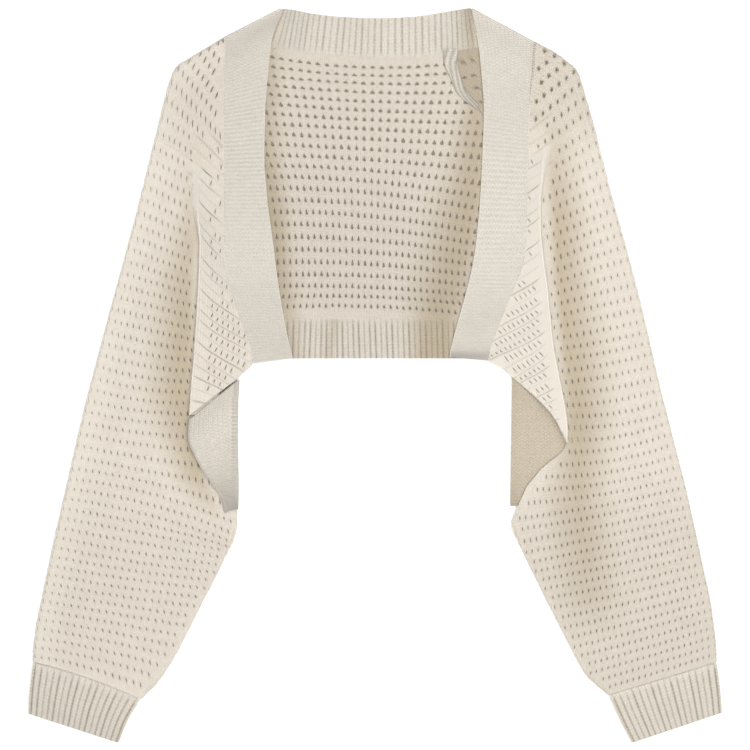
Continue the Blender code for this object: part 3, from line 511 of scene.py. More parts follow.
PUFF_FROM, PUFF_SPAN = 411.0, 127.0  # where the sleeves fill out, down the chart
PANEL_BOW = 0.35  # how far a front panel's row hangs, as a share of its length
TROUGH, CREASE, BULGE, PANEL_WALE = 0.0011, 0.0006, 0.0004, 0.00004
FIRST_WALE = -0.0011  # from the outermost line of the fold to the first wale
FIRST_EYELETS = 10.5  # the front panels' first row of eyelets
COARSE_COLUMNS, COARSE_LINES = (0, 0.25, 0.75, 1), (0, 0.13, 0.25, 0.75, 0.87, 1)
UP = np.array([0.0, 0.0, 1.0])
# Rows of eyelets: row, outer edge, inner end, sag, pitch of its wales. The first table
# runs to the front band, the second to the pleat and below it to the underarm.
LEFT_UPPER = (
    (0, 224, 38, 40, 0, 7.5), (1.5, 217.5, 42, 53.5, 0, 7.5), (2.5, 208.6, 47.3, 68, 0, 7.5),
    (3.5, 199.5, 52.8, 86, 0, 7.4), (4.5, 188.4, 59.6, 105, 0, 7.3),
    (5.5, 177, 67.2, 123.5, 0, 7.3), (6.5, 170, 82, 141, 0, 7.25),
    (7.5, 165.2, 99.5, 156.5, -1, 7.2), (8.5, 160.5, 117.4, 170, -3, 7),
    (9.5, 156.8, 133.3, 183, -5, 6.75), (10, 155, 140.5, 189, -5.5, 6.7),
)
LEFT_LOWER = (
    (10, 155, 140.5, 161.5, 0, 6.7), (10.5, 153, 147.8, 168.5, 0, 6.65),
    (12.5, 146.8, 173.3, 196, 0, 6.6), (15.5, 137.2, 211.8, 240, 0, 6.45),
    (18.5, 127.4, 248.7, 279, 0, 6.2), (21.5, 117.7, 284.3, 311.5, 0, 6.1),
    (24.5, 108.2, 319.3, 342.5, 2, 6.15), (27.5, 99, 353.8, 371.5, 5, 6.4),
    (30.5, 89.9, 388.5, 402, 6, 6.6), (33.5, 81.6, 421.5, 436, 4.5, 6.7),
    (36.5, 73.7, 456, 485, 1, 6.8), (38.5, 68.7, 478, 522, -7, 6.9),
    (40.5, 64.2, 497.5, 541, -5, 6.9), (42.5, 59.8, 517, 551, -1, 6.95),
    (45.5, 53.2, 546, 573, 2, 7), (48.5, 47.5, 573, 597.5, 2, 7.05),
    (51.5, 42, 599.5, 626.5, 0, 7.1), (54.5, 36.3, 627.4, 657, -2, 7.2),
    (57.5, 33.5, 655.3, 689.5, -4, 7.3), (58.2, 33.4, 661.3, 698.3, -3, 7.3),
)
RIGHT_UPPER = (
    (0, 536.2, 43.4, 47, 0, 10), (0.5, 546, 48.5, 61, 0, 10), (1.5, 556, 54, 75, 0, 10),
    (2.5, 566, 61.5, 92, 0, 9.8), (3.5, 576.3, 70.8, 107.6, 0, 9.5), (4.5, 581.5, 84, 125, 0, 9.2),
    (5.5, 585.6, 98.5, 139, 0, 8.9), (6.5, 590, 113, 153, 0, 8.5), (7, 592, 120.7, 159.5, 0, 8.2),
)
RIGHT_LOWER = (
    (7, 592, 120.7, 151.5, 0, 8.2), (7.5, 594.4, 128.4, 158, 0, 7.9),
    (8.5, 597.9, 142.6, 172.5, 0, 7.65), (10.5, 605, 170.5, 203, 0, 7.4),
    (12.5, 612, 197.8, 230, 0, 7.2), (14.5, 618.8, 222, 255, 0, 7.1),
    (16.5, 625.6, 246.8, 279.5, -1, 7), (19.5, 635.5, 284, 310, 0, 6.8),
    (22.5, 644.6, 320.8, 341.5, 1, 6.7), (25.5, 652, 353.6, 373.5, 2, 6.4),
    (28.5, 660.4, 389.5, 405.5, 4, 6.2), (30.5, 666.2, 412.5, 427, 5, 6.1),
    (31.5, 668.6, 422, 440, 5, 6.05), (32.5, 671.3, 433, 452, 5.5, 6),
    (34.5, 677, 455, 477, 6, 5.95), (36.5, 682.6, 476.5, 503, 4, 5.95),
    (38.5, 687.2, 496, 530, 2, 5.95), (40.5, 691.7, 515.5, 553, 1, 6),
    (45.5, 701.8, 563, 598.5, 2, 6.05), (50.5, 711.2, 609, 647.5, 1, 6.1),
    (55.5, 716, 653.5, 689.4, 0, 6.1), (56.4, 716.2, 661.3, 694.3, 0, 6.1),
)
# Pleat: height of its edge, the edge, the overlap and the height of the tuck under it.
LEFT_PLEAT = (
    (140, 199.7, 0, 140), (158, 199.5, 0, 158), (181, 199.5, 0, 181), (206, 199.7, 0.6, 206),
    (234, 199.7, 3.4, 233), (262, 199.2, 8, 259), (291, 198, 13, 286), (320, 196.4, 18, 312),
    (346, 194.6, 22, 336), (371, 192.6, 26, 358), (394, 190.6, 30, 382), (416, 189.4, 34, 405),
)
RIGHT_PLEAT = (
    (126, 545.5, 0, 126), (147, 543, 0.4, 147), (170, 541.4, 1.6, 170), (198, 540.8, 4.4, 197),
    (229, 541, 8, 227), (258, 543.6, 12, 255), (288, 547.6, 16, 283), (316, 550.4, 19, 308),
    (342, 553, 21, 332), (366, 557.2, 21, 357), (388, 561.6, 19, 381), (410, 565.6, 15, 402),
    (430, 567.6, 8, 424), (442.5, 566.8, 3, 438),
)
# Front panel's rows: row, height at the pleat's edge, inner end.
LEFT_PANEL = (
    (0, 165.4, 224.2, 187.4), (3, 201, 224.4, 226), (6, 234.5, 224.4, 261), (9, 267, 233.4, 297),
    (12, 298, 245.4, 332.5), (14, 318, 252, 353), (15, 328.5, 252.4, 363.6), (16, 340, 244.5, 372),
    (17, 352, 236.5, 379.7), (18.5, 369.5, 227, 387), (20, 387.5, 215.5, 395.7),
    (21, 400, 206, 403), (22, 414.5, 192, 414),
)
RIGHT_PANEL = (
    (0, 148.4, 528, 157.9), (4, 196, 526.6, 206), (8, 240, 524.4, 252), (12, 285, 503.9, 312),
    (13.5, 302, 495, 335), (15, 316, 489.2, 353.5), (16, 327, 489.2, 360.4),
    (17, 338, 503.6, 369.3), (18, 349, 513.5, 378.5), (19.5, 366, 522.5, 386),
    (21, 384, 535, 397.5), (22.5, 401, 545.5, 408), (24, 417, 554.5, 419.5),
    (25, 431, 561.5, 432.5), (26, 442, 566, 441.5),
)
# Underarm: height, inner edge, how far the layers close there, how far the edge droops.
LEFT_ARM = (
    (440, 233, 0.75, 0), (485, 235.5, 1, 0), (525, 237.5, 1, 0), (569.5, 219.5, 1, 0),
    (607.5, 200, 1, 0), (653, 177, 1, 0), (683, 157.5, 1, 0), (698.3, 141.5, 1, 0),
)
RIGHT_ARM = (
    (450.5, 563, 0, 1), (468.5, 541, 0, 1), (486, 526.5, 0, 1), (521, 511, 1, 0),
    (551.5, 522.5, 1, 0), (591.5, 542, 1, 0), (633, 563, 1, 0), (675.5, 586, 1, 0),
    (694.3, 607.7, 1, 0),
)
# Height and inner end of the sleeve's front where it runs under the front band.
LEFT_SEAM = (
    (38, 226.9), (60, 225.6), (86, 224.4), (190, 224.2),
)
RIGHT_SEAM = (
    (46, 530.5), (52, 532.6), (66, 532.2), (93, 530), (120, 528.4), (158, 528),
)
# Back layer: height of the outer edge and the back's inner edge.
LEFT_BACK = (
    (38, 265.6, 47), (45.6, 256, 76), (54.5, 248, 96), (63, 242, 116), (75, 238, 138),
    (94, 236, 160), (117, 235, 182), (144, 234, 206), (172, 233.5, 228), (199, 233.5, 250),
    (226, 233.5, 276), (253, 233.7, 300), (279, 234, 319), (304, 235, 334), (328, 236, 350),
    (352, 236.6, 365), (375, 237, 379), (411, 233.8, 440), (461, 235.5, 485), (505, 237.5, 525),
    (547, 219.5, 569.5), (587, 200, 607.5), (627, 177, 653), (648, 157.5, 683),
    (661.3, 141.5, 698.3),
)
RIGHT_BACK = (
    (44.8, 447.6, 52.7), (52.2, 456, 76), (60.5, 464, 90), (68.8, 473, 102), (80, 482, 114),
    (96, 490, 130), (115.5, 496, 150), (139, 502, 172), (166, 506, 196), (193, 509, 222),
    (221, 511, 248), (248, 513, 274), (274, 515, 300), (300, 515.7, 322), (327, 516, 342),
    (354, 519, 362), (378, 551, 379), (402, 574, 406), (418, 585, 428), (431, 587.5, 448),
    (448, 576, 470), (465, 550, 495), (496, 511, 524), (530, 522.5, 551.5), (569, 542, 591.5),
    (607, 563, 633), (637, 586, 675.5), (661.3, 607.7, 694.3),
)


def lean(way, angle):
    """Directions that leave the plan directions way by angle, upwards."""
    angle = np.asarray(angle)[..., None]
    return np.concatenate([np.cos(angle) * way, np.sin(angle)], axis=-1)


def square_to(after, before, towards):
    """The plan direction square to the line between two points, on the side of towards."""
    along = after - before
    square = unit(np.stack([-along[:, 1], along[:, 0]], axis=1))
    return square * np.where(np.sum(square * towards, axis=1) < 0, -1.0, 1.0)[:, None]


def edge_way(heights, places, y, step, towards):
    """The plan direction square to an edge, given by its places at heights, at height y."""
    edge = lambda at: plan(np.interp(at, heights, places), at)
    return square_to(edge(y + step), edge(y - step), towards)


def curl_reach(turn):
    """Plan distance that a curled edge takes up beyond its start."""
    return CURL_LENGTH / turn * np.sin(turn) + HALF * np.sin(turn)


def pleat_turn(reach):
    """How far a pleat turns at each edge for its overlap, and the flat room between."""
    turn = np.maximum(math.pi * np.clip(reach / (2 * PLEAT_REACH), 0, 1) ** 0.8, 1e-4)
    return turn, np.maximum(reach - 2 * PLEAT_REACH, 0.0) + PLEAT_ROOM


class FrontPanel:
    """Front panel: from the tuck round the pleat's edge to the front band and the hem."""

    def __init__(self, sign, pleat, rows, pitch):
        self.sign, self.pleat, self.rows, self.pitch = sign, pleat, rows, pitch * UNIT
        self.last = rows[-1][0]
        stops = np.linspace(0, self.last, 80)
        shape = self.shape(stops)
        self.edge_y = read(rows, stops)[:, 0]
        self.rise = shape["rise"]
        self.tuck_x, self.tuck_y = on_chart(shape["tuck"])

    def shape(self, v):
        """A row's two ends, the pleat's turn, room and rise, and the tuck under it."""
        edge_y, end_x, end_y = read(self.rows, v).T
        edge_x, overlap, tuck_y = read(self.pleat, edge_y).T
        edge, end = plan(edge_x, edge_y), plan(end_x, end_y)
        after, before = (plan(read(self.pleat, edge_y + d)[:, 0], edge_y + d) for d in (1.0, -1.0))
        square = square_to(after, before, np.tile([self.sign, 0.0], (len(v), 1)))
        share = np.clip(overlap / 4, 0, 1)[:, None]
        way = unit(unit(end - edge) * (1 - share) + square * share)
        reach = overlap * UNIT
        turn, room = pleat_turn(reach)
        rise = 2 * BEND_LENGTH / turn * (1 - np.cos(turn)) + room * np.sin(turn)
        rise = np.where(reach > 0.0002, rise, 0.0)
        start = edge + way * (PLEAT_REACH * np.sin(turn / 2) ** 2)[:, None]
        sway = 2 * BEND_LENGTH / turn * np.sin(turn) + room * np.cos(turn)
        tuck = start - way * sway[:, None]
        tuck[:, 1] -= (tuck_y - edge_y) * UNIT
        return {"end": end, "way": way, "turn": turn, "room": room, "rise": rise,
                "start": start, "tuck": tuck}

    def lift(self, x, y):
        """Height of the front panel over the sleeve's front layer at a plan point."""
        chart_y = CENTRE - y / UNIT
        rise = np.interp(chart_y, self.edge_y, self.rise)
        tuck = np.interp(chart_y, self.edge_y, (self.tuck_x - CENTRE) * UNIT)
        return rise * (1 - ease(((x - tuck) * self.sign - PLEAT_REACH) / LIFT_FADE))

    def place(self, u, v):
        """Point and normal at wale u of row v; below 0 it runs back round the pleat."""
        s = self.shape(v)
        turn, room, way = s["turn"], s["room"], s["way"]
        bend = BEND_LENGTH / turn
        along = lambda across, up: np.concatenate(
            [way * (bend * across)[:, None], (bend * up)[:, None]], axis=1)
        a = u * self.pitch
        d = np.maximum(-a, 0)
        first = turn * np.minimum(d / BEND_LENGTH, 1)
        last = np.clip(d - BEND_LENGTH - room, 0, BEND_LENGTH)
        left = turn * (1 - last / BEND_LENGTH)
        point = np.concatenate([s["start"], (FRONT_MID + s["rise"])[:, None]], axis=1)
        point = point - along(np.sin(first), 1 - np.cos(first))
        point = point - lean(way, turn) * np.clip(d - BEND_LENGTH, 0, room)[:, None]
        point = point - along(np.sin(turn) - np.sin(left), np.cos(left) - np.cos(turn))
        normal = lean(way, np.where(last > 0, left, first) + math.pi / 2)
        run = s["end"] - s["start"]
        length = np.linalg.norm(run, axis=1)
        t = np.clip(a / length, 0, 1)[:, None]
        flat = s["start"] + run * t
        bow = PANEL_BOW * length * (1 - ease((v - self.last + 8) / 7))
        flat[:, 1] -= bow * (t * (1 - t) ** 2)[:, 0]
        height = FRONT_MID + self.lift(flat[:, 0], flat[:, 1])
        flat = np.concatenate([flat, height[:, None]], axis=1)
        on_top = (a > 0)[:, None]
        return np.where(on_top, flat, point), np.where(on_top, UP, normal)

    def fit(self, u, v, j):
        u, v = spread(u, v)
        v = np.clip(v, 0, self.last)
        s = self.shape(v.ravel())
        low = -(2 * BEND_LENGTH + s["room"]) / self.pitch
        high = np.linalg.norm(s["end"] - s["start"], axis=1) / self.pitch
        return np.clip(u, low.reshape(v.shape), high.reshape(v.shape)), v


# Soft shade and trough on the sleeves, in the form of the back panel's tables.
LEFT_SHADE = (
    (130, 205, 0, 30, 20), (165, 200, 0.15, 26, 16), (215, 196, 0.55, 26, 10),
    (275, 187, 0.85, 40, 15), (335, 186, 1.05, 48, 16), (395, 184, 1.05, 52, 16),
    (435, 190, 1, 44, 16), (475, 198, 0.95, 34, 12), (505, 212, 0.4, 26, 12),
    (520, 214, 0, 20, 12),
)
RIGHT_SHADE = (
    (118, 556, 0, 8, 20), (132, 554, 0.35, 10, 24), (155, 553, 0.55, 12, 32),
    (185, 555, 0.8, 14, 36), (215, 557, 1, 14, 40), (275, 560, 1, 14, 44), (345, 567, 1, 14, 56),
    (415, 577, 1.05, 20, 48), (455, 577, 0.95, 34, 44), (495, 576, 0.85, 46, 42),
    (595, 587, 0.6, 46, 46), (640, 596, 0, 40, 40),
)
# Few eyelets, and creases up to the pleat: their edge, their top and their low end.
LEFT_FEW, RIGHT_FEW = (192, 138, 300), (548, 128, 300)
LEFT_LED, RIGHT_LED = (184, 132, 205), (556, 110, 175)
# Heights where the shoulder's painted shade ends, the forearm's starts and the neck's shade ends.
SHOULDER_END, FOREARM_START, NECK_END = 95.0, 460.0, 140.0
SCATTER = (12.9898, 78.233, 43758.5453)


class SleeveLayers:
    """Both layers of a sleeve, placed by the distance from its outer fold along a row."""

    def __init__(self, sign, upper, lower, arm, back, panel, seam, neck_rise):
        self.sign, self.upper, self.lower, self.back = sign, upper, lower, back
        self.neck_rise, self.seam = neck_rise * UNIT, np.array(seam).T
        self.split, self.last = upper[-1][0], lower[-1][0]
        arm = np.array(arm).T
        used = panel.tuck_y < arm[0, 0] - 10
        above = np.zeros(int(used.sum()))
        self.inner_y, self.inner_x, self.closed, self.drop = (
            np.concatenate(pair)
            for pair in zip((panel.tuck_y[used], panel.tuck_x[used], above, above), arm)
        )

    def rows(self, v, below):
        """Row's outer point, its inner height, its sag and its wales' pitch."""
        return np.where(below[:, None], read(self.lower, v), read(self.upper, v))

    def end(self, v, below, front):
        """A layer's row: outer point, inward way, inner end, its way, how far it closes."""
        row = self.rows(v, below)
        outer = plan(row[:, 0], row[:, 1])
        after = self.rows(np.minimum(v + 0.2, self.last), below)
        before = self.rows(np.maximum(v - 0.2, 0), below)
        closed, drop = (
            np.interp(row[:, 2], self.inner_y, values) * below for values in (self.closed, self.drop)
        )
        if front:
            end_y = row[:, 2]
            inner_x = np.interp(end_y, self.inner_y, self.inner_x)
            end_x = np.where(below, inner_x, np.interp(end_y, *self.seam))
        else:
            end_x, end_y = read(self.back, row[:, 1]).T
            drop = 0 * drop
        end = plan(end_x, end_y)
        towards = end - outer
        inward = square_to(plan(*after.T[:2]), plan(*before.T[:2]), towards)
        side = edge_way(self.inner_y, self.inner_x, end_y, 3, towards)
        share = ease((closed - 0.4) / 0.4)[:, None]
        way = unit(unit(towards) * (1 - share) + side * share)
        return row, outer, inward, end, way, closed, drop

    def layer(self, a, v, below, front):
        """Point, normal and length of the row at distance a from the outermost line."""
        row, outer, inward, end, way, closed, drop = self.end(v, below, front)
        up = 1.0 if front else -1.0
        turn = np.maximum(closed * math.pi / 2, 1e-6)
        flat_start = outer + inward * EDGE_REACH
        run = end - way * curl_reach(turn)[:, None] - flat_start
        length = np.linalg.norm(run, axis=1)
        angle = np.clip(a / FOLD_RADIUS, 0, math.pi / 2)
        plan_fold = outer + inward * (EDGE_REACH - FOLD_RADIUS * np.cos(angle))[:, None]
        t = np.clip((a - CURL_LENGTH) / np.maximum(length, 1e-6), 0, 1)
        arch = 4 * t * (1 - t)
        flat = flat_start + run * t[:, None]
        flat[:, 1] -= row[:, 3] * UNIT * (1.0 if front else 0.5) * arch
        if not front:
            flat[:, 1] += self.neck_rise * np.maximum(1 - v / 2, 0) * arch
        s = np.clip((a - CURL_LENGTH - length) / CURL_LENGTH, 0, 1)
        flat = flat + way * (CURL_LENGTH / turn * np.sin(turn * s))[:, None]
        height = FOLD_RADIUS - CURL_LENGTH / turn * (1 - np.cos(turn * s))
        if front:
            puff = PUFF * ease((row[:, 1] - PUFF_FROM) / PUFF_SPAN) * np.sin(math.pi * t) ** 2
            height = height + puff - BAND_DROOP * drop * t**4
        folded = a < CURL_LENGTH
        z = SEAM_MID + up * np.where(folded, FOLD_RADIUS * np.sin(angle), height)
        on_plan = np.where(folded[:, None], plan_fold, flat)
        point = np.concatenate([on_plan, z[:, None]], axis=1)
        flat_normal = lean(way, math.pi / 2 - turn * s)
        normal = np.where(folded[:, None], lean(-inward, angle), flat_normal)
        normal[:, 2] *= up
        return point, normal, 2 * CURL_LENGTH + length

    def place_front(self, u, v):
        below = v > self.split + 1e-6
        a = FIRST_WALE + u * self.rows(v, below)[:, 4] * UNIT
        front = self.layer(np.maximum(a, 0), v, below, True)
        back = self.layer(np.maximum(-a, 0), v, below, False)
        over = (a >= 0)[:, None]
        return tuple(np.where(over, *pair) for pair in zip(front[:2], back[:2]))

    def place_back(self, u, v):
        below = v > self.split + 1e-6
        a = -FIRST_WALE + u * self.rows(v, below)[:, 4] * UNIT
        return self.layer(a, v, below, False)[:2]

    def fit(self, u, v, below, front):
        """A layer's cells between its outer fold and its inner end."""
        v = np.clip(v, 0, self.last)
        flat, below = v.ravel(), below.ravel()
        total = self.layer(np.zeros(v.size), flat, below, front)[2]
        way = 1 if front else -1
        high = (total - way * FIRST_WALE) / (self.rows(flat, below)[:, 4] * UNIT)
        return np.clip(u, -way, high.reshape(v.shape)), v

    def fit_front(self, u, v, j):
        u, v, j = spread(u, v, j)
        return self.fit(u, v, j >= self.split, True)

    def fit_back(self, u, v, j):
        u, v = spread(u, v)
        return self.fit(u, v, v > self.split + 1e-6, False)


def scattered(u, v, share):
    """1 in a share of the cells, spread without a pattern."""
    mixed = np.sin(np.floor(u) * SCATTER[0] + np.floor(v) * SCATTER[1]) * SCATTER[2]
    return (mixed - np.floor(mixed) < share) * 1.0


def sleeve_eyelets(layers, few, table):
    """Slits, wider by the shoulder, with painted shade inside, more by the shoulder and in the shade,
    few by the seam.
    """
    left = layers.sign > 0

    def size(u, v):
        x, y = on_chart(layers.place_front(u, v)[0])
        top, low = 1 - ease((v - 2.5) / 6), ease((v - 20) / 14)
        wide = 0.095 + (0.017 if left else 0.115) * top + 0.01 * low
        high = 0.2 + (0.07 if left else -0.02) * top - 0.02 * low
        slant = 0.3 + 0.42 * top if left else 0.2 + 0.08 * top
        edge = ease((u - 0.5) / 5)
        painted_eyelet_shade = 0.1 + 0.16 * edge + 0.4 * top + 0.35 * soft_shade(x, y, table)
        near_seam = (x - few[0]) * layers.sign > 0
        quiet = near_seam & (y > few[1]) & (y < few[2])
        keep = np.where(quiet, scattered(u, v, 0.3), 1.0)
        near = np.maximum(edge, top)
        return wide * (0.7 + 0.3 * near) * keep, high, slant, 0.15 + 0 * v, painted_eyelet_shade
    return size


def hidden_eyelets(u, v):
    """Eyelets of a back layer: flat dashes by the neck, slits below."""
    top = 1 - ease((v - 2.5) / 2)
    # The last value is the painted shade inside each eyelet.
    return 0.13 + 0.19 * top, 0.2 - 0.11 * top, 0 * v, 0.3 + 0 * v, 0.5 + 0.5 * top


def panel_eyelets(strip, slant):
    """Eyelets in the panel's lower part, off the smooth strip along its edge."""
    def size(u, v):
        open_rows = ease((v - FIRST_EYELETS) / 1.5)
        few = scattered(u, v, 0.35) * (u > 2)
        inside = ease((u - strip) / 0.6)
        wide = 0.08 * np.maximum(open_rows, few) * inside
        # The last value is the painted shade inside each eyelet.
        return wide, 0.27 + 0 * v, slant + 0 * v, 0.1 + 0 * v, 0.55 + 0 * v
    return size


def panel_shade(light, run, strip):
    """Creases between a front panel's rows, deep at the pleat and gone by the band."""
    def shade(x, y, u, v):
        row = np.round(v)
        low = ease((v - FIRST_EYELETS + 2) / 3)
        strength = 0.55 + 0.45 * np.sin(row * 2.4 + 0.6) * (1 - 0.4 * low)
        strength = strength * (v > 0.5)
        line = np.exp(-(((v - row) / 0.07) ** 2)) * strength
        first = 2.5 * (strip - 1.4) * low
        line = line * ease((u + 0.4 - first) / 1.2) * (1 - 0.75 * ease((u - run * (0.5 + low)) / 3))
        swell = np.abs(np.sin(math.pi * v)) * (1 - ease((u - 5) / 3)) * ease((u + 0.5) / 1.5)
        under = 0.0004 * (1 - ease(v / 0.25))
        # Painted shade in the creases and painted light over the whole panel; the surface dips in
        # creases and tuck and swells along the rows.
        return 0.75 * line - light, 0.15 * line, CREASE * line - BULGE * swell + under
    return shade


def sleeve_shade(table, sign, led, split):
    """Shade and trough beside the pleat, and short creases that lead up to it."""
    def shade(x, y, u, v):
        soft = soft_shade(x, y, table)
        row = np.round(v)
        near = ease(((x - led[0]) * sign) / 8) * ease((y - led[1]) / 8) * ease((led[2] - y) / 8)
        line = np.exp(-(((v - row) / 0.1) ** 2)) * near * (0.7 + 0.3 * np.sin(row * 1.9))
        line = line * (np.abs(v - split) > 0.5)
        shoulder = 1 - ease((y - SHOULDER_END) / 80)
        low = ease((y - FOREARM_START) / 90)
        # Painted shade by the shoulder and the forearm, and painted light by the left sleeve's outer
        # fold.
        painted_shade_and_light = (0.2 if sign < 0 else 0.1) * shoulder + (0.1 if sign < 0 else 0.05) * low
        painted_shade_and_light = painted_shade_and_light - (0.1 * (1 - ease((u - 1) / 4)) if sign > 0 else 0)
        return 0.3 * line + painted_shade_and_light, soft + 0.1 * line, TROUGH * np.minimum(soft, 1) + CREASE * line
    return shade


def hidden_shade(x, y, u, v):
    """Shade of the back layer where it shows by the neck."""
    near = ease((NECK_END - y) / 20)
    return 0.19 * near, 0.68 * near, 0 * x


def dress(piece, material, node):
    piece.data.materials.append(material)
    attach(piece, "root")
    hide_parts(node)


OPENWORK = cotton_finish("openwork cotton", COTTON, 2.4, 0.28, 0.0006, 2, 1.5)
left_panel = FrontPanel(1.0, LEFT_PLEAT, LEFT_PANEL, 6.5)
right_panel = FrontPanel(-1.0, RIGHT_PLEAT, RIGHT_PANEL, 5.3)
left_layers = SleeveLayers(
    1.0, LEFT_UPPER, LEFT_LOWER, LEFT_ARM, LEFT_BACK, left_panel, LEFT_SEAM, 0
)
right_layers = SleeveLayers(
    -1.0, RIGHT_UPPER, RIGHT_LOWER, RIGHT_ARM, RIGHT_BACK, right_panel, RIGHT_SEAM, 3.0
)

# Side: its layers and front panel, the panel's smooth strip, its eyelets' slant, the
# panel's painted light and its creases' reach, the sleeve's painted shade, where its
# eyelets are few and where creases lead up to the pleat.
for name, layers, panel, strip, slant, light, run, table, few, led in (
    ("left", left_layers, left_panel, 1.4, -0.35, 0.07, 4.5, LEFT_SHADE, LEFT_FEW, LEFT_LED),
    ("right", right_layers, right_panel, 1.8, -0.8, 0.22, 9, RIGHT_SHADE, RIGHT_FEW, RIGHT_LED),
):
    relief, rows = openwork_relief(RIDGE, WALE_RISE), (0, math.ceil(layers.last))
    front, front_area = knit_panel(
        f"sleeve_front_{name}", layers.place_front, layers.fit_front, (-1, 40), rows,
        sleeve_eyelets(layers, few, table), relief,
        sleeve_shade(table, layers.sign, led, layers.split), seed=5, both_faces=False,
    )
    dress(front, OPENWORK, f"sleeve_{name}")
    back, layer_area = knit_panel(
        f"sleeve_back_{name}", layers.place_back, layers.fit_back, (1, 60), rows,
        hidden_eyelets, relief, hidden_shade, seed=7,
        columns=COARSE_COLUMNS, lines=COARSE_LINES,
    )
    dress(back, OPENWORK, f"sleeve_{name}")
    flap, flap_area = knit_panel(
        f"front_panel_{name}", panel.place, panel.fit, (-14, 16), (0, math.ceil(panel.last)),
        panel_eyelets(strip, slant), openwork_relief(RIDGE, PANEL_WALE),
        panel_shade(light, run, strip), seed=9, both_faces=False,
    )
    dress(flap, OPENWORK, f"sleeve_{name}")


# Front bands. Plain knit worked across, linked to the front panels and folded over the
# shoulders to the neckband; a chain edge of small beads finishes the free side.
BAND_COURSE = 3.3  # chart units between two courses
BAND_RISE, BAND_STITCHES, BEND_STEPS = 0.00006, 14, 6
BEAD_LENGTH, BEAD_RADIUS, BEAD_IN, BEAD_UP = 0.0030, 0.00075, 0.0002, 0.0004
SEAM_PITCH, SEAM_RADIUS = 0.0031, 0.0006
SEAM_TUCK, SEAM_DROP = 0.0008, 0.0006  # how far an edge goes into its neighbour
CHAIN_START = 0.08  # share of the band's length
# Row of the left band and of the right one: the seam's place, the free edge's place.
LEFT_BAND = (
    (0, 225, 37.3, 280, 9.3), (1, 224.5, 60, 272.6, 34), (2, 224.2, 86, 268.2, 71),
    (3, 224.2, 120, 265.1, 113), (4, 224.2, 160, 264.3, 158), (5, 224.2, 200, 267.2, 199.5),
    (6, 224.3, 240, 272.5, 240), (7, 226.9, 276, 277.2, 277), (8, 235.6, 305, 281.6, 306),
    (9, 245.7, 334, 286.9, 334), (10, 254.4, 363, 292.6, 358.2),
)
RIGHT_BAND = (
    (0, 536, 43.2, 473, 9.3), (1, 533.4, 66, 477.8, 38), (2, 530.4, 93, 481.5, 74),
    (3, 528.4, 120, 483.9, 110), (4, 527.5, 155, 482.7, 151), (5, 526.8, 205, 479.9, 203),
    (6, 524.2, 256, 474.3, 256), (7, 510.8, 296, 465.5, 295), (8, 499, 325, 457.1, 325),
    (9, 490, 352, 450.3, 352), (10, 487.6, 360.4, 449.6, 357.2),
)


def upright(middle):
    return np.zeros_like(middle) + UP


def stitch_map(across, along):
    """The stitch map of a grid, from stitches across it and courses along it."""
    return np.stack(np.broadcast_arrays(across, -along[:, None]), axis=-1)


def wall_part(middle, normal, high, low, uv, depth, ring=False):
    """A closed wall from a grid of points, high over it and low under it, and its area."""
    shape = middle.shape[:2]
    high, low, depth = (np.broadcast_to(each, shape) for each in (high, low, depth))
    outside, inside = middle + normal * high[..., None], middle - normal * low[..., None]
    points = np.concatenate([outside.reshape(-1, 3), inside.reshape(-1, 3)])
    half = depth.size
    index = np.arange(half).reshape(shape)
    if ring:
        index = np.concatenate([index, index[:, :1]], axis=1)
        rims = [index[0], index[-1, ::-1]]
    else:
        rims = [np.concatenate([index[0], index[1:, -1], index[-1, -2::-1], index[-2::-1, 0]])]
    top = np.stack([index[:-1, :-1], index[:-1, 1:], index[1:, 1:], index[1:, :-1]], axis=-1)
    top = top.reshape(-1, 4)
    sides = [np.stack([rim[1:], rim[:-1], rim[:-1] + half, rim[1:] + half], axis=1) for rim in rims]
    faces = np.concatenate([top, top[:, ::-1] + half, *sides]).tolist()
    faces = right_way(faces, points, np.tile(middle.reshape(-1, 3), (2, 1)))
    steps = middle[1:, :-1] - middle[:-1, :-1], middle[:-1, 1:] - middle[:-1, :-1]
    area = float(np.linalg.norm(np.cross(*steps), axis=2).sum())
    depth = np.concatenate([depth.ravel(), depth.ravel() + UNDERSIDE])
    return points, faces, np.tile(uv.reshape(-1, 2), (2, 1)), depth, area


def bead_part(path, pitch, length, radius, rise):
    """Small rounded stitches in a row along a path, each lying on it."""
    around, rings = 6, 5
    run = np.concatenate([[0], np.cumsum(np.linalg.norm(np.diff(path, axis=0), axis=1))])
    count = int(run[-1] / pitch)
    places = (np.arange(count) + 0.5) * run[-1] / count
    on_path = lambda at: np.stack([np.interp(at, run, path[:, k]) for k in range(3)], axis=1)
    centre = on_path(places)
    along = unit(on_path(places + pitch / 3) - centre + 1e-9)
    along[-1] = along[-2]
    across = unit(np.cross(along, UP))
    over = np.cross(across, along)
    points = []
    for t in (np.arange(rings) + 0.5) / rings * 2 - 1:
        size = radius * math.sqrt(1 - t * t * 0.9)
        for angle in np.linspace(0, 2 * math.pi, around, endpoint=False):
            points.append(
                centre + along * (t * length / 2) + across * (math.cos(angle) * size)
                + over * (math.sin(angle) * size * rise)
            )
    corner = lambda ring, k: ring * around + k % around
    bead = [
        (corner(ring, k), corner(ring, k + 1), corner(ring + 1, k + 1), corner(ring + 1, k))
        for ring in range(rings - 1) for k in range(around)
    ]
    bead += [range(around)[::-1], range((rings - 1) * around, rings * around)]
    faces = [[f + n * rings * around for f in face] for n in range(count) for face in bead]
    points = np.stack(points, axis=1).reshape(-1, 3)
    faces = right_way(faces, points, np.repeat(centre, rings * around, axis=0))
    return points, faces, np.zeros((len(points), 2)), np.zeros(len(points)), 0.0


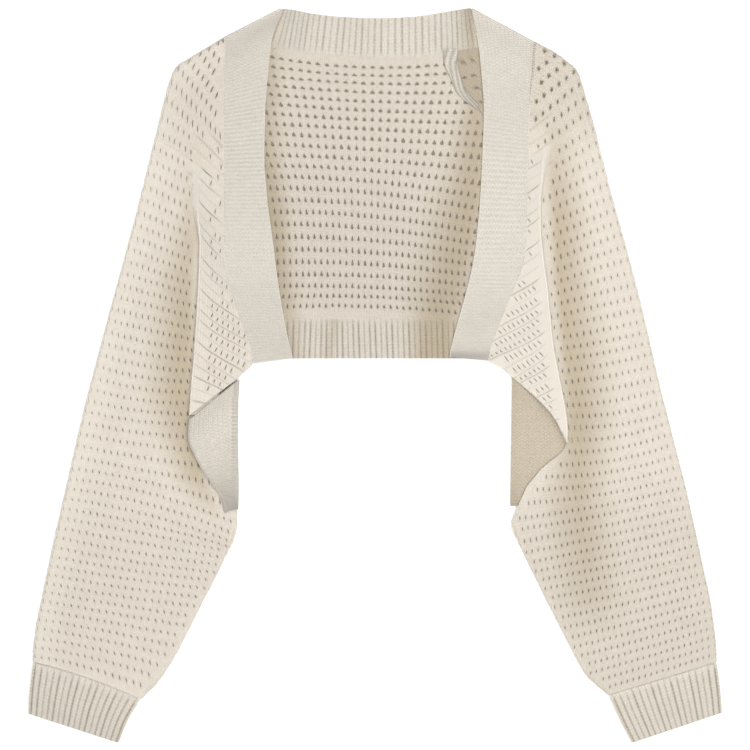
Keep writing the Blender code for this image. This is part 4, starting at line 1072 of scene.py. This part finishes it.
def build_piece(name, parts, shade=None):
    """One object from walls and rows of stitches, and the area of its walls."""
    starts = np.cumsum([0] + [len(part[0]) for part in parts]).tolist()
    faces = [[f + start for f in face] for part, start in zip(parts, starts) for face in part[1]]
    points, uv, depth = (np.concatenate([part[k] for part in parts]) for k in (0, 2, 3))
    painted_warm_shade = shade(*on_chart(points)) if shade else np.zeros(len(points))
    return add_mesh(name, points, faces, uv, depth, painted_warm_shade), sum(part[4] for part in parts)


def front_band(name, table, panel):
    """Band from its fold on the shoulder to the hem, over the back layer."""
    stops = np.concatenate([[0, 0.012, 0.04], np.linspace(0.1, 1, 14)])
    count = int((table[-1][2] - table[0][2]) / BAND_COURSE) * 3 + 1
    rows, down = read(table, np.linspace(0, table[-1][0], count)), np.arange(count)
    seam, edge = plan(rows[:, 0], rows[:, 1]), plan(rows[:, 2], rows[:, 3])
    fold, width = edge[0] - seam[0], np.linalg.norm(edge - seam, axis=1)
    outward = unit(np.array([-fold[1], fold[0]]) * panel.sign)
    fold_back = outward * curl_reach(math.pi / 2) * (1 - ease(down / 45))[:, None]
    middle = np.zeros((BEND_STEPS + count, len(stops), 3))
    normal = upright(middle)
    for k, t in enumerate(stops):
        tucked = k == 0
        line = seam * (1 - t) + edge * t - fold_back - unit(edge - seam) * SEAM_TUCK * tucked
        droop = BAND_DROOP * ease(1 - (1 - t) * width / DROOP_WIDTH) * ease(down / 40)
        level = FRONT_MID + panel.lift(line[:, 0], line[:, 1]) - droop - SEAM_DROP * tucked
        middle[BEND_STEPS:, k] = np.concatenate([line, level[:, None]], axis=1)
        for n in range(BEND_STEPS):
            angle = math.pi / 2 * n / BEND_STEPS
            normal[n, k] = lean(outward, angle)
            centre = [*line[0], FRONT_MID - FOLD_RADIUS]
            middle[n, k] = centre + normal[n, k] * FOLD_RADIUS
    course = (np.arange(len(middle)) - BEND_STEPS) / 3
    wave = np.cos(2 * math.pi * course)
    # Painted shade in the seam's groove, more by the right band's shoulder; the seam's beads get some
    # too.
    shoulder = (panel.sign < 0) * (1 - ease((course - 16) / 10))
    groove = (0.08 + 0.6 * shoulder) * (0.7 + 0.3 * wave)
    wall = wall_part(
        middle, normal, HALF + BAND_RISE * wave[:, None], HALF,
        stitch_map(stops * BAND_STITCHES, course), groove[:, None] * (stops < 0.03),
    )
    free = middle[BEND_STEPS + int(count * CHAIN_START):]
    path = free[:, -1] + unit(free[:, -2] - free[:, -1]) * BEAD_IN + UP * BEAD_UP
    chain = bead_part(path, BEAD_LENGTH, BEAD_LENGTH * 1.3, BEAD_RADIUS, 1.3)
    path = middle[BEND_STEPS + 1:, :2].mean(axis=1) + UP * HALF
    beads = bead_part(path, SEAM_PITCH, SEAM_PITCH * 0.9, SEAM_RADIUS, 0.6)
    on_band = -middle[BEND_STEPS:, 0, 1]
    shade = 0.25 * np.interp(-beads[0][:, 1], on_band, shoulder[BEND_STEPS:])
    return build_piece(name, [wall, chain, (*beads[:3], shade, 0.0)])


BANDS = cotton_finish("plain cotton", COTTON_BAND, 0.8, 0.22, 0.0011)
for name, table, panel in (("left", LEFT_BAND, left_panel), ("right", RIGHT_BAND, right_panel)):
    band, band_area = front_band(f"front_band_knit_{name}", table, panel)
    dress(band, BANDS, f"front_band_{name}")


# Neckband, back hem and cuffs. Ribbed knit of stouter hand: broad ribs of two strands
# with a narrow valley between them, linked to the openwork; the cuffs are knitted round.
RIB_WALL, RIB_RISE = 0.0016, 0.0009
RIB_MID = RIB_WALL / 2
RIB_POINTS, RIB_COURSE = 12, 3.0
CUFF_RIBS, HEM_RIBS, NECK_RIBS = 34, 50, 36
CUFF_MID = RIB_MID + RIB_RISE + FOLD_RADIUS
SEAM_RISE, SEAM_DIP, CUFF_DIP = 0.0009, 0.0003, 0.0005  # a rib's height at its seam
NECK_LIFT, NECK_REACH = 0.0026, 11.0  # how the neckband rises to the front bands
LIFT_FULL = 26.0  # how far down the chart that rise is whole
# Painted shade of a soft fold across the hem: its middle across, its height and its top.
HEM_FOLD_SHADE_X, HEM_FOLD_SHADE_Y, HEM_FOLD_SHADE_TOP = 333.0, 330.0, 300.0
FOLD_INSET, FOLD_STEPS = 0.0015, 5  # the neckband's fold lies inside the front bands'
# Rib, free edge and seam with the back, from the left shoulder to the right.
NECKBAND = (
    (0, 281.5, 10.6, 228.5, 39.5), (0.8, 284, 9.8, 267, 46.8), (3, 291.5, 10.2, 283, 49),
    (7.6, 312, 14.1, 307, 51.8), (12.8, 344, 17.5, 340.5, 54.3), (18, 375, 18.7, 374, 56.4),
    (23.2, 410, 17.5, 410.5, 56.1), (28.4, 443, 13, 444, 52.6), (33, 464.5, 9.5, 468.5, 48.8),
    (34.8, 469.4, 9.2, 480, 47.7), (36, 471.4, 10.8, 534.4, 46.4),
)
HEM_TOP, HEM_LOW, HEM_TURN = 319.9, 358.4, 345.0
LEFT_CUFF = (
    (0, 33.4, 661.5, 141.4, 698.5), (1, 30.2, 690, 127.5, 722), (2, 28.6, 712, 119.6, 741.6),
)
RIGHT_CUFF = (
    (0, 716.2, 661.5, 607.7, 694.5), (1, 719.6, 688, 619, 719), (2, 721.6, 711, 630.8, 741.6),
)


def rib_height(rib):
    """Height and shade of a rib over its wall: two strands and a valley."""
    phase = rib - np.floor(rib)
    valley = np.exp(-((np.minimum(phase, 1 - phase) / 0.2) ** 2))
    middle = np.exp(-(((phase - 0.5) / 0.1) ** 2))
    own = 0.8 + 0.2 * np.sin(np.round(rib) * 2.1)
    return RIB_RISE * (1 - valley - 0.25 * middle), 0.62 * valley * own + 0.1 * middle


def rib_shade(x, y):
    """The back's painted shade, and painted shade of a soft fold across the hem."""
    away = x - HEM_FOLD_SHADE_X + (y - HEM_FOLD_SHADE_Y) * 0.15
    fold = 0.45 * np.exp(-((away / 5) ** 2)) * ease((y - HEM_FOLD_SHADE_TOP) / 20)
    return np.maximum(back_shade(x, y), fold)


def fold_ends(middle, normal, top, low):
    """The neckband with both ends turned up into the shoulders' fold."""
    radius = SEAM_MID - RIB_MID
    reach = np.array([radius - FOLD_INSET, radius - FOLD_INSET, radius])
    for at, sign in ((0, 1), (-1, -1)):
        fold = top[at] - low[at]
        inward = unit(np.array([fold[1], -fold[0]]) * sign)
        turned = [lean(inward, math.pi / 2 * (1 - n / FOLD_STEPS)) for n in range(1, FOLD_STEPS + 1)]
        turned = np.array(turned)[::-sign]
        ends = middle[:, at, None] + (UP - turned) * reach
        turned = np.tile(turned, (len(middle), 1, 1))
        middle = np.concatenate([ends, middle][::sign], axis=1)
        normal = np.concatenate([turned, normal][::sign], axis=1)
    return middle, normal


def flat_rib(name, top, low, ribs, neck, sway):
    """A flat ribbed band between two edges on the plan, each given rib by rib.

    The neckband's seam is its lower edge; it rises to the front bands and its ends fold up.
    """
    share = np.concatenate([[0, 0.03], np.linspace(0.08, 1, 12)])
    share = 1 - share[::-1] if neck else share
    from_seam = 1 - share if neck else share
    tucked = (from_seam == 0)[:, None] * 1.0
    grow = (0.35 + 0.65 * ease(from_seam / 0.14))[:, None]
    down = share[:, None, None]
    body = top * (1 - down) + low * down
    body[..., 0] += sway * (1 - down[..., 0]) * UNIT
    body = body + unit(low - top) * (1 if neck else -1) * SEAM_TUCK * tucked[..., None]
    middle = np.concatenate([body, np.full((*body.shape[:2], 1), RIB_MID)], axis=2)
    normal = upright(middle)
    rise, deep = rib_height(ribs)
    if neck:
        x, y = on_chart(body)
        left, right = (
            np.interp(y, [row[4] for row in table], [row[3] for row in table])
            for table in (LEFT_BAND, RIGHT_BAND)
        )
        near = 1 - ease(np.minimum(x - left, right - x) / NECK_REACH)
        middle[..., 2] += NECK_LIFT * near * (1 - ease((y - LIFT_FULL) / 20))
        middle, normal = fold_ends(middle, normal, top, low)
        fade = ease(np.minimum(ribs, NECK_RIBS - ribs) / 0.4)
        rise = np.pad(np.where(rise > 0, rise * fade, rise), FOLD_STEPS)
        # The neckband's painted valley shade is a little lighter.
        deep = np.pad(deep * 0.75 - 0.02, FOLD_STEPS)
        ribs = np.pad(ribs, FOLD_STEPS, mode="edge")
    high = RIB_MID + rise * grow + SEAM_RISE * (1 - grow) - SEAM_DIP * tucked
    courses = np.linalg.norm(top[len(top) // 2] - low[len(low) // 2]) / UNIT / RIB_COURSE
    uv = stitch_map(ribs * 2, np.linspace(0, courses, len(share)))
    return build_piece(name, [wall_part(middle, normal, high, RIB_MID, uv, deep * grow)], rib_shade)


def cuff(name, table, bow):
    """Ribbed tube, pressed flat, from the sleeve's end to the hand."""
    ribs = (np.arange(CUFF_RIBS * RIB_POINTS) + 0.5) / RIB_POINTS
    share = np.concatenate([[0, 0.02], np.linspace(0.06, 1, 14)])
    tucked = (share == 0)[:, None] * 1.0
    grow = (0.3 + 0.7 * ease(share / 0.12))[:, None]
    rows = read(table, share * table[-1][0])
    outer, inner = plan(rows[:, 0], rows[:, 1]), plan(rows[:, 2], rows[:, 3])
    width, bend = np.linalg.norm(inner - outer, axis=1), math.pi * FOLD_RADIUS
    middle, normal = [], []
    for i, way in enumerate(unit(inner - outer)):
        flat = width[i] - 2 * CUFF_MID
        s = 2 * (flat + bend) * ribs / CUFF_RIBS
        over = s < flat + bend
        along = np.clip(np.where(over, s, 2 * flat + bend - s), 0, flat)
        past = np.where(over, s - flat, s - 2 * flat - bend)
        angle = np.where(over, math.pi / 2, -math.pi / 2) - np.clip(past, 0, bend) / FOLD_RADIUS
        t = along / flat
        arch = bow * UNIT * (0.75 + 0.25 * np.sin(angle)) * (1 - share[i]) ** 2 * 4 * t * (1 - t)
        centre = outer[i] + way * (CUFF_MID + along)[:, None]
        centre[:, 1] += arch + SEAM_TUCK * tucked[i]
        centre = np.concatenate([centre, np.full((len(s), 1), CUFF_MID)], axis=1)
        normal.append(lean(way, angle))
        middle.append(centre + FOLD_RADIUS * normal[-1])
    rise, deep = rib_height(ribs)
    high = RIB_MID + rise * grow - CUFF_DIP * tucked
    uv = stitch_map(ribs * 2, share * 48 / RIB_COURSE)
    tube = wall_part(
        np.array(middle), np.array(normal), high, RIB_MID, uv, deep * grow, ring=True
    )
    return build_piece(name, [tube])


def hem_edge(y):
    """Plan points along the hem at a chart height, from sleeve to sleeve."""
    left = np.interp(y, [row[2] for row in LEFT_BACK], [row[1] for row in LEFT_BACK]) + 0.5
    right = np.interp(
        min(y, HEM_TURN), [row[2] for row in RIGHT_BACK], [row[1] for row in RIGHT_BACK]
    )
    return plan(left + (right - 0.5 - left) * hem_share, np.full(len(hem_share), y))


RIBS = cotton_finish("ribbed cotton", COTTON_RIB, 1.2, 0.32, 0.0009)
neck_ribs = np.linspace(0, NECK_RIBS, NECK_RIBS * RIB_POINTS + 1)
free_x, free_y, seam_x, seam_y = read(NECKBAND, neck_ribs).T
neckband = flat_rib(
    "neckband_knit", plan(free_x, free_y), plan(seam_x, seam_y), neck_ribs, True, 0.0
)
hem_ribs = np.linspace(0, HEM_RIBS, HEM_RIBS * RIB_POINTS + 1)
hem_share = hem_ribs / HEM_RIBS
hem_sway = 3.5 * np.exp(-(((hem_share - 0.25) / 0.12) ** 2))
back_hem = flat_rib(
    "back_hem_knit", hem_edge(HEM_TOP), hem_edge(HEM_LOW), hem_ribs, False, hem_sway
)
for (piece, area), node, flat in (
    (neckband, "neckband", (0.29, 0.045)),
    (back_hem, "back_hem", (0.27, 0.038)),
    (cuff("cuff_knit_left", LEFT_CUFF, 3), "cuff_left", (0.22, 0.050)),
    (cuff("cuff_knit_right", RIGHT_CUFF, 0), "cuff_right", (0.22, 0.050)),
):
    dress(piece, RIBS, node)


# Underarm bands and the back seam's roll. The plain bands finish the open underarm: the
# left one lies on the sleeve, the right one is turned in under the front panel. The
# roll is the edge of the linked seam between the back and the right sleeve.
# Row, outer edge, inner edge, the outer edge's fold, how far the inner edge curls down.
LEFT_UNDERARM = (
    (0, 189.6, 417.6, 239.8, 379.2, 12, 1), (1, 188.6, 437, 238.4, 410, 12, 1),
    (2, 195, 455, 238.2, 440, 12, 1), (3, 205.5, 474, 238.6, 464, 11, 1),
    (4, 215.5, 488, 239, 483, 7, 0.9), (5, 224, 500, 239.2, 498, 3, 0.6),
    (6, 230, 510, 239, 509, 0, 0.3),
)
RIGHT_UNDERARM = (
    (512.3, 362), (510.2, 506),
)
PANEL_LOW, UNDERARM_INSET = 414.0, 0.0008
ROLL_EDGE, ROLL_CROWN = 0.00045, 0.00065
UNDERARM_RISE = 0.0015  # to the front panel's edge, where the right band turns in
# Roll: row, middle and width.
BACK_ROLL = (
    (0, 450.5, 50, 15), (1, 450.3, 62, 13.5), (2, 454.6, 76, 10.5), (3, 460.5, 91, 8.5),
    (4, 469.5, 101, 6.5), (5, 477.5, 107, 5.5),
)


def bend_run(start, way, heading, turn, length, count):
    """Middle line of a fold and its normals: count steps which turn by turn in all."""
    points, normals, point = [], [], start
    step = length / count * np.sinc(turn / count / 2 / math.pi)
    for k in range(count):
        point = point + lean(way, heading + turn * (k + 0.5) / count) * step
        points.append(point)
        normals.append(lean(way, heading + turn * (k + 1) / count + math.pi / 2))
    return points, normals


def left_underarm(name, panel):
    """Plain band on the left sleeve: edge turned under, inner edge curled down."""
    stops = LEFT_UNDERARM[-1][0] * np.linspace(0, 1, 64) ** 1.15
    rows = read(LEFT_UNDERARM, stops)
    outer, inner = plan(rows[:, 0], rows[:, 1]), plan(rows[:, 2], rows[:, 3])
    outer[0, 1] -= SEAM
    inner[0, 1] -= SEAM
    way_out = square_to(np.gradient(outer, axis=0), 0, inner - outer)
    radius, low = EDGE_REACH + SEAM + HALF, FRONT_MID + PLEAT_RISE
    middle, normal = [], []
    for i, out in enumerate(way_out):
        turn, room = pleat_turn(rows[i, 4] * UNIT)
        top = low + BEND_LENGTH / turn * (1 - math.cos(turn)) + room * math.sin(turn) / 2
        start = outer[i] + out * PLEAT_REACH * math.sin(turn / 2) ** 2
        points, normals = bend_run(np.zeros(3), out, turn, -turn, BEND_LENGTH, 8)
        shift = np.array([*start, top]) - points[-1]
        points = [shift - lean(out, turn) * room, shift] + [point + shift for point in points]
        normals = [lean(out, turn + math.pi / 2)] * 2 + normals
        bend, level = rows[i, 5] * math.pi / 2, ease(stops[i])
        away = unit(unit(inner[i] - outer[i]) * (1 - level) + np.array([1.0, 0.0]) * level)
        end = inner[i] - away * (radius + HALF) * math.sin(bend)
        edge = points[-1][:2]
        for t in np.linspace(0, 1, 17)[1:]:
            at = edge + (end - edge) * t
            below = ease((CENTRE - at[1] / UNIT - PANEL_LOW) / 12)
            pleat = FRONT_MID + float(panel.lift(at[:1], at[1:])[0]) * (1 - below)
            points.append(np.array([*at, max(top + (low - top) * ease(t), pleat)]))
            normals.append(UP)
        down = bend_run(points[-1], away, 0.0, -bend, max(radius * bend, 0.0008), 8)
        middle.append(points + down[0])
        normal.append(normals + down[1])
    middle, normal = np.array(middle), np.array(normal)
    uv = stitch_map(np.linspace(0, 18, middle.shape[1]), np.linspace(0, 45, len(stops)))
    # Painted brownish shade over the whole band.
    shade = lambda x, y: 0.12 + 0 * x
    return build_piece(name, [wall_part(middle, normal, HALF, HALF, uv, 0)], shade)


def right_underarm(name):
    """Plain band in the back layer: its outer edge follows the sleeve's back edge."""
    places, heights = np.array([row[1:] for row in RIGHT_BACK]).T
    high, low = RIGHT_UNDERARM
    y = np.linspace(high[1], low[1], 60)
    inner = plan(np.interp(y, (high[1], low[1]), (high[0], low[0])), y)
    side = edge_way(heights, places, y, 2, np.array([[-1.0, 0.0]]))
    outer = plan(np.interp(y, heights, places), y) + side * UNDERARM_INSET
    outer[:, 0] = np.maximum(outer[:, 0], inner[:, 0] + 0.001)
    share = np.linspace(0, 1, 24)[:, None]
    flat = inner[:, None] * (1 - share) + outer[:, None] * share
    edge = read(RIGHT_PANEL, np.linspace(16, 26, 40))
    chart_x, chart_y = on_chart(flat)
    below = chart_y - np.interp(chart_x, edge[:, 1], edge[:, 2])
    level = BACK_MID + UNDERARM_RISE * (1 - ease((below + 1) / 9))
    middle = np.concatenate([flat, level[..., None]], axis=2)
    uv = stitch_map(np.linspace(0, 14, len(share)), np.linspace(0, 45, len(y)))
    # Painted brownish shade, more by the inner edge; the band also gets a little painted shade.
    shade = lambda x, y: 0.72 + 0.15 * (1 - ease((x - high[0]) / 9))
    return build_piece(name, [wall_part(middle, upright(middle), HALF, HALF, uv, 0.1)], shade)


def back_roll(name):
    """Twisted roll on the back panel's upper face."""
    last = BACK_ROLL[-1][0]
    stops, run = np.linspace(0, last, 90), np.linspace(0, 24, 90)
    x, y, width = read(BACK_ROLL, stops).T
    line, t = plan(x, y), np.linspace(-1, 1, 10)
    along = unit(np.gradient(line, axis=0))
    side = np.stack([-along[:, 1], along[:, 0]], axis=1) * (width * UNIT / 2)[:, None]
    flat = line[:, None] + side[:, None] * t[:, None]
    end = 1 - 0.55 * ease((stops / last - 0.6) / 0.4)
    strand = 0.7 + 0.3 * np.abs(np.cos(math.pi * (1.1 * t + run[:, None] / 9)))
    half = (ROLL_EDGE + ROLL_CROWN * np.sqrt(np.maximum(1 - t**2, 0))) * end[:, None]
    middle = np.concatenate([flat, (WALL + 2 * SEAM + half)[..., None]], axis=2)
    uv = stitch_map(np.linspace(0, 3, len(t)), run)
    # Painted shade between the roll's strands.
    part = wall_part(middle, upright(middle), half * strand, half, uv, (1 - strand) * 2)
    return build_piece(name, [part])


for (piece, area), node, flat in (
    (left_underarm("underarm_knit_left", left_panel), "underarm_band_left", (0.07, 0.135)),
    (right_underarm("underarm_knit_right"), "underarm_band_right", (0.075, 0.145)),
    (back_roll("back_seam_roll"), "back_seam_right", (0.013, 0.068)),
):
    dress(piece, BANDS, node)
bpy.ops.object.select_all(action="DESELECT")


# Surface, light and view. A plain pale table, a large soft light over it, a wide soft
# fill, a faint light from the side and a view straight down through a long lens.
CAMERA_LENS, SENSOR = 85.0, 36.0
VIEW_WIDTH = 750 * UNIT
CAMERA_UP = VIEW_WIDTH * CAMERA_LENS / SENSOR
TABLE_DEPTH = 0.0008  # below the lowest stitch of the hidden side
bpy.ops.mesh.primitive_plane_add(size=6.0, location=(0, 0, -TABLE_DEPTH))
table = bpy.context.object
table.name = "table"
table_finish = bpy.data.materials.new("pale table")
table_finish.use_nodes = True
set_inputs(table_finish.node_tree.nodes["Principled BSDF"], {
    "Base Color": (0.93, 0.93, 0.93, 1), "Roughness": 0.9,
    "Emission Strength": 0.15, "Emission Color": (1, 1, 1, 1),
})
table.data.materials.append(table_finish)

for kind, place, turn, values in (
    ("AREA", (0.5, 0.5, 1.75), (-0.268, 0.278, 0), {"size": 1.3, "energy": 16}),
    ("AREA", (0.3, -0.9, 2.5), (0.345, 0.119, 0), {"size": 2.4, "energy": 42}),
    ("SUN", (0, 0, 0), (0, -1.1, 0), {"energy": 0.6, "angle": 1.2}),
):
    bpy.ops.object.light_add(type=kind, location=place, rotation=turn)
    for setting, value in values.items():
        setattr(bpy.context.object.data, setting, value)
world = bpy.data.worlds.new("studio")
world.use_nodes = True
set_inputs(world.node_tree.nodes["Background"], {"Color": (1, 1, 1, 1), "Strength": 0.41})
bpy.context.scene.world = world
bpy.context.scene.view_settings.view_transform = "Standard"

bpy.ops.object.camera_add(location=(0, 0, CAMERA_UP), rotation=(0, 0, 0))
camera = bpy.context.object
camera.data.lens = CAMERA_LENS
camera.data.sensor_width = SENSOR
bpy.context.scene.camera = camera
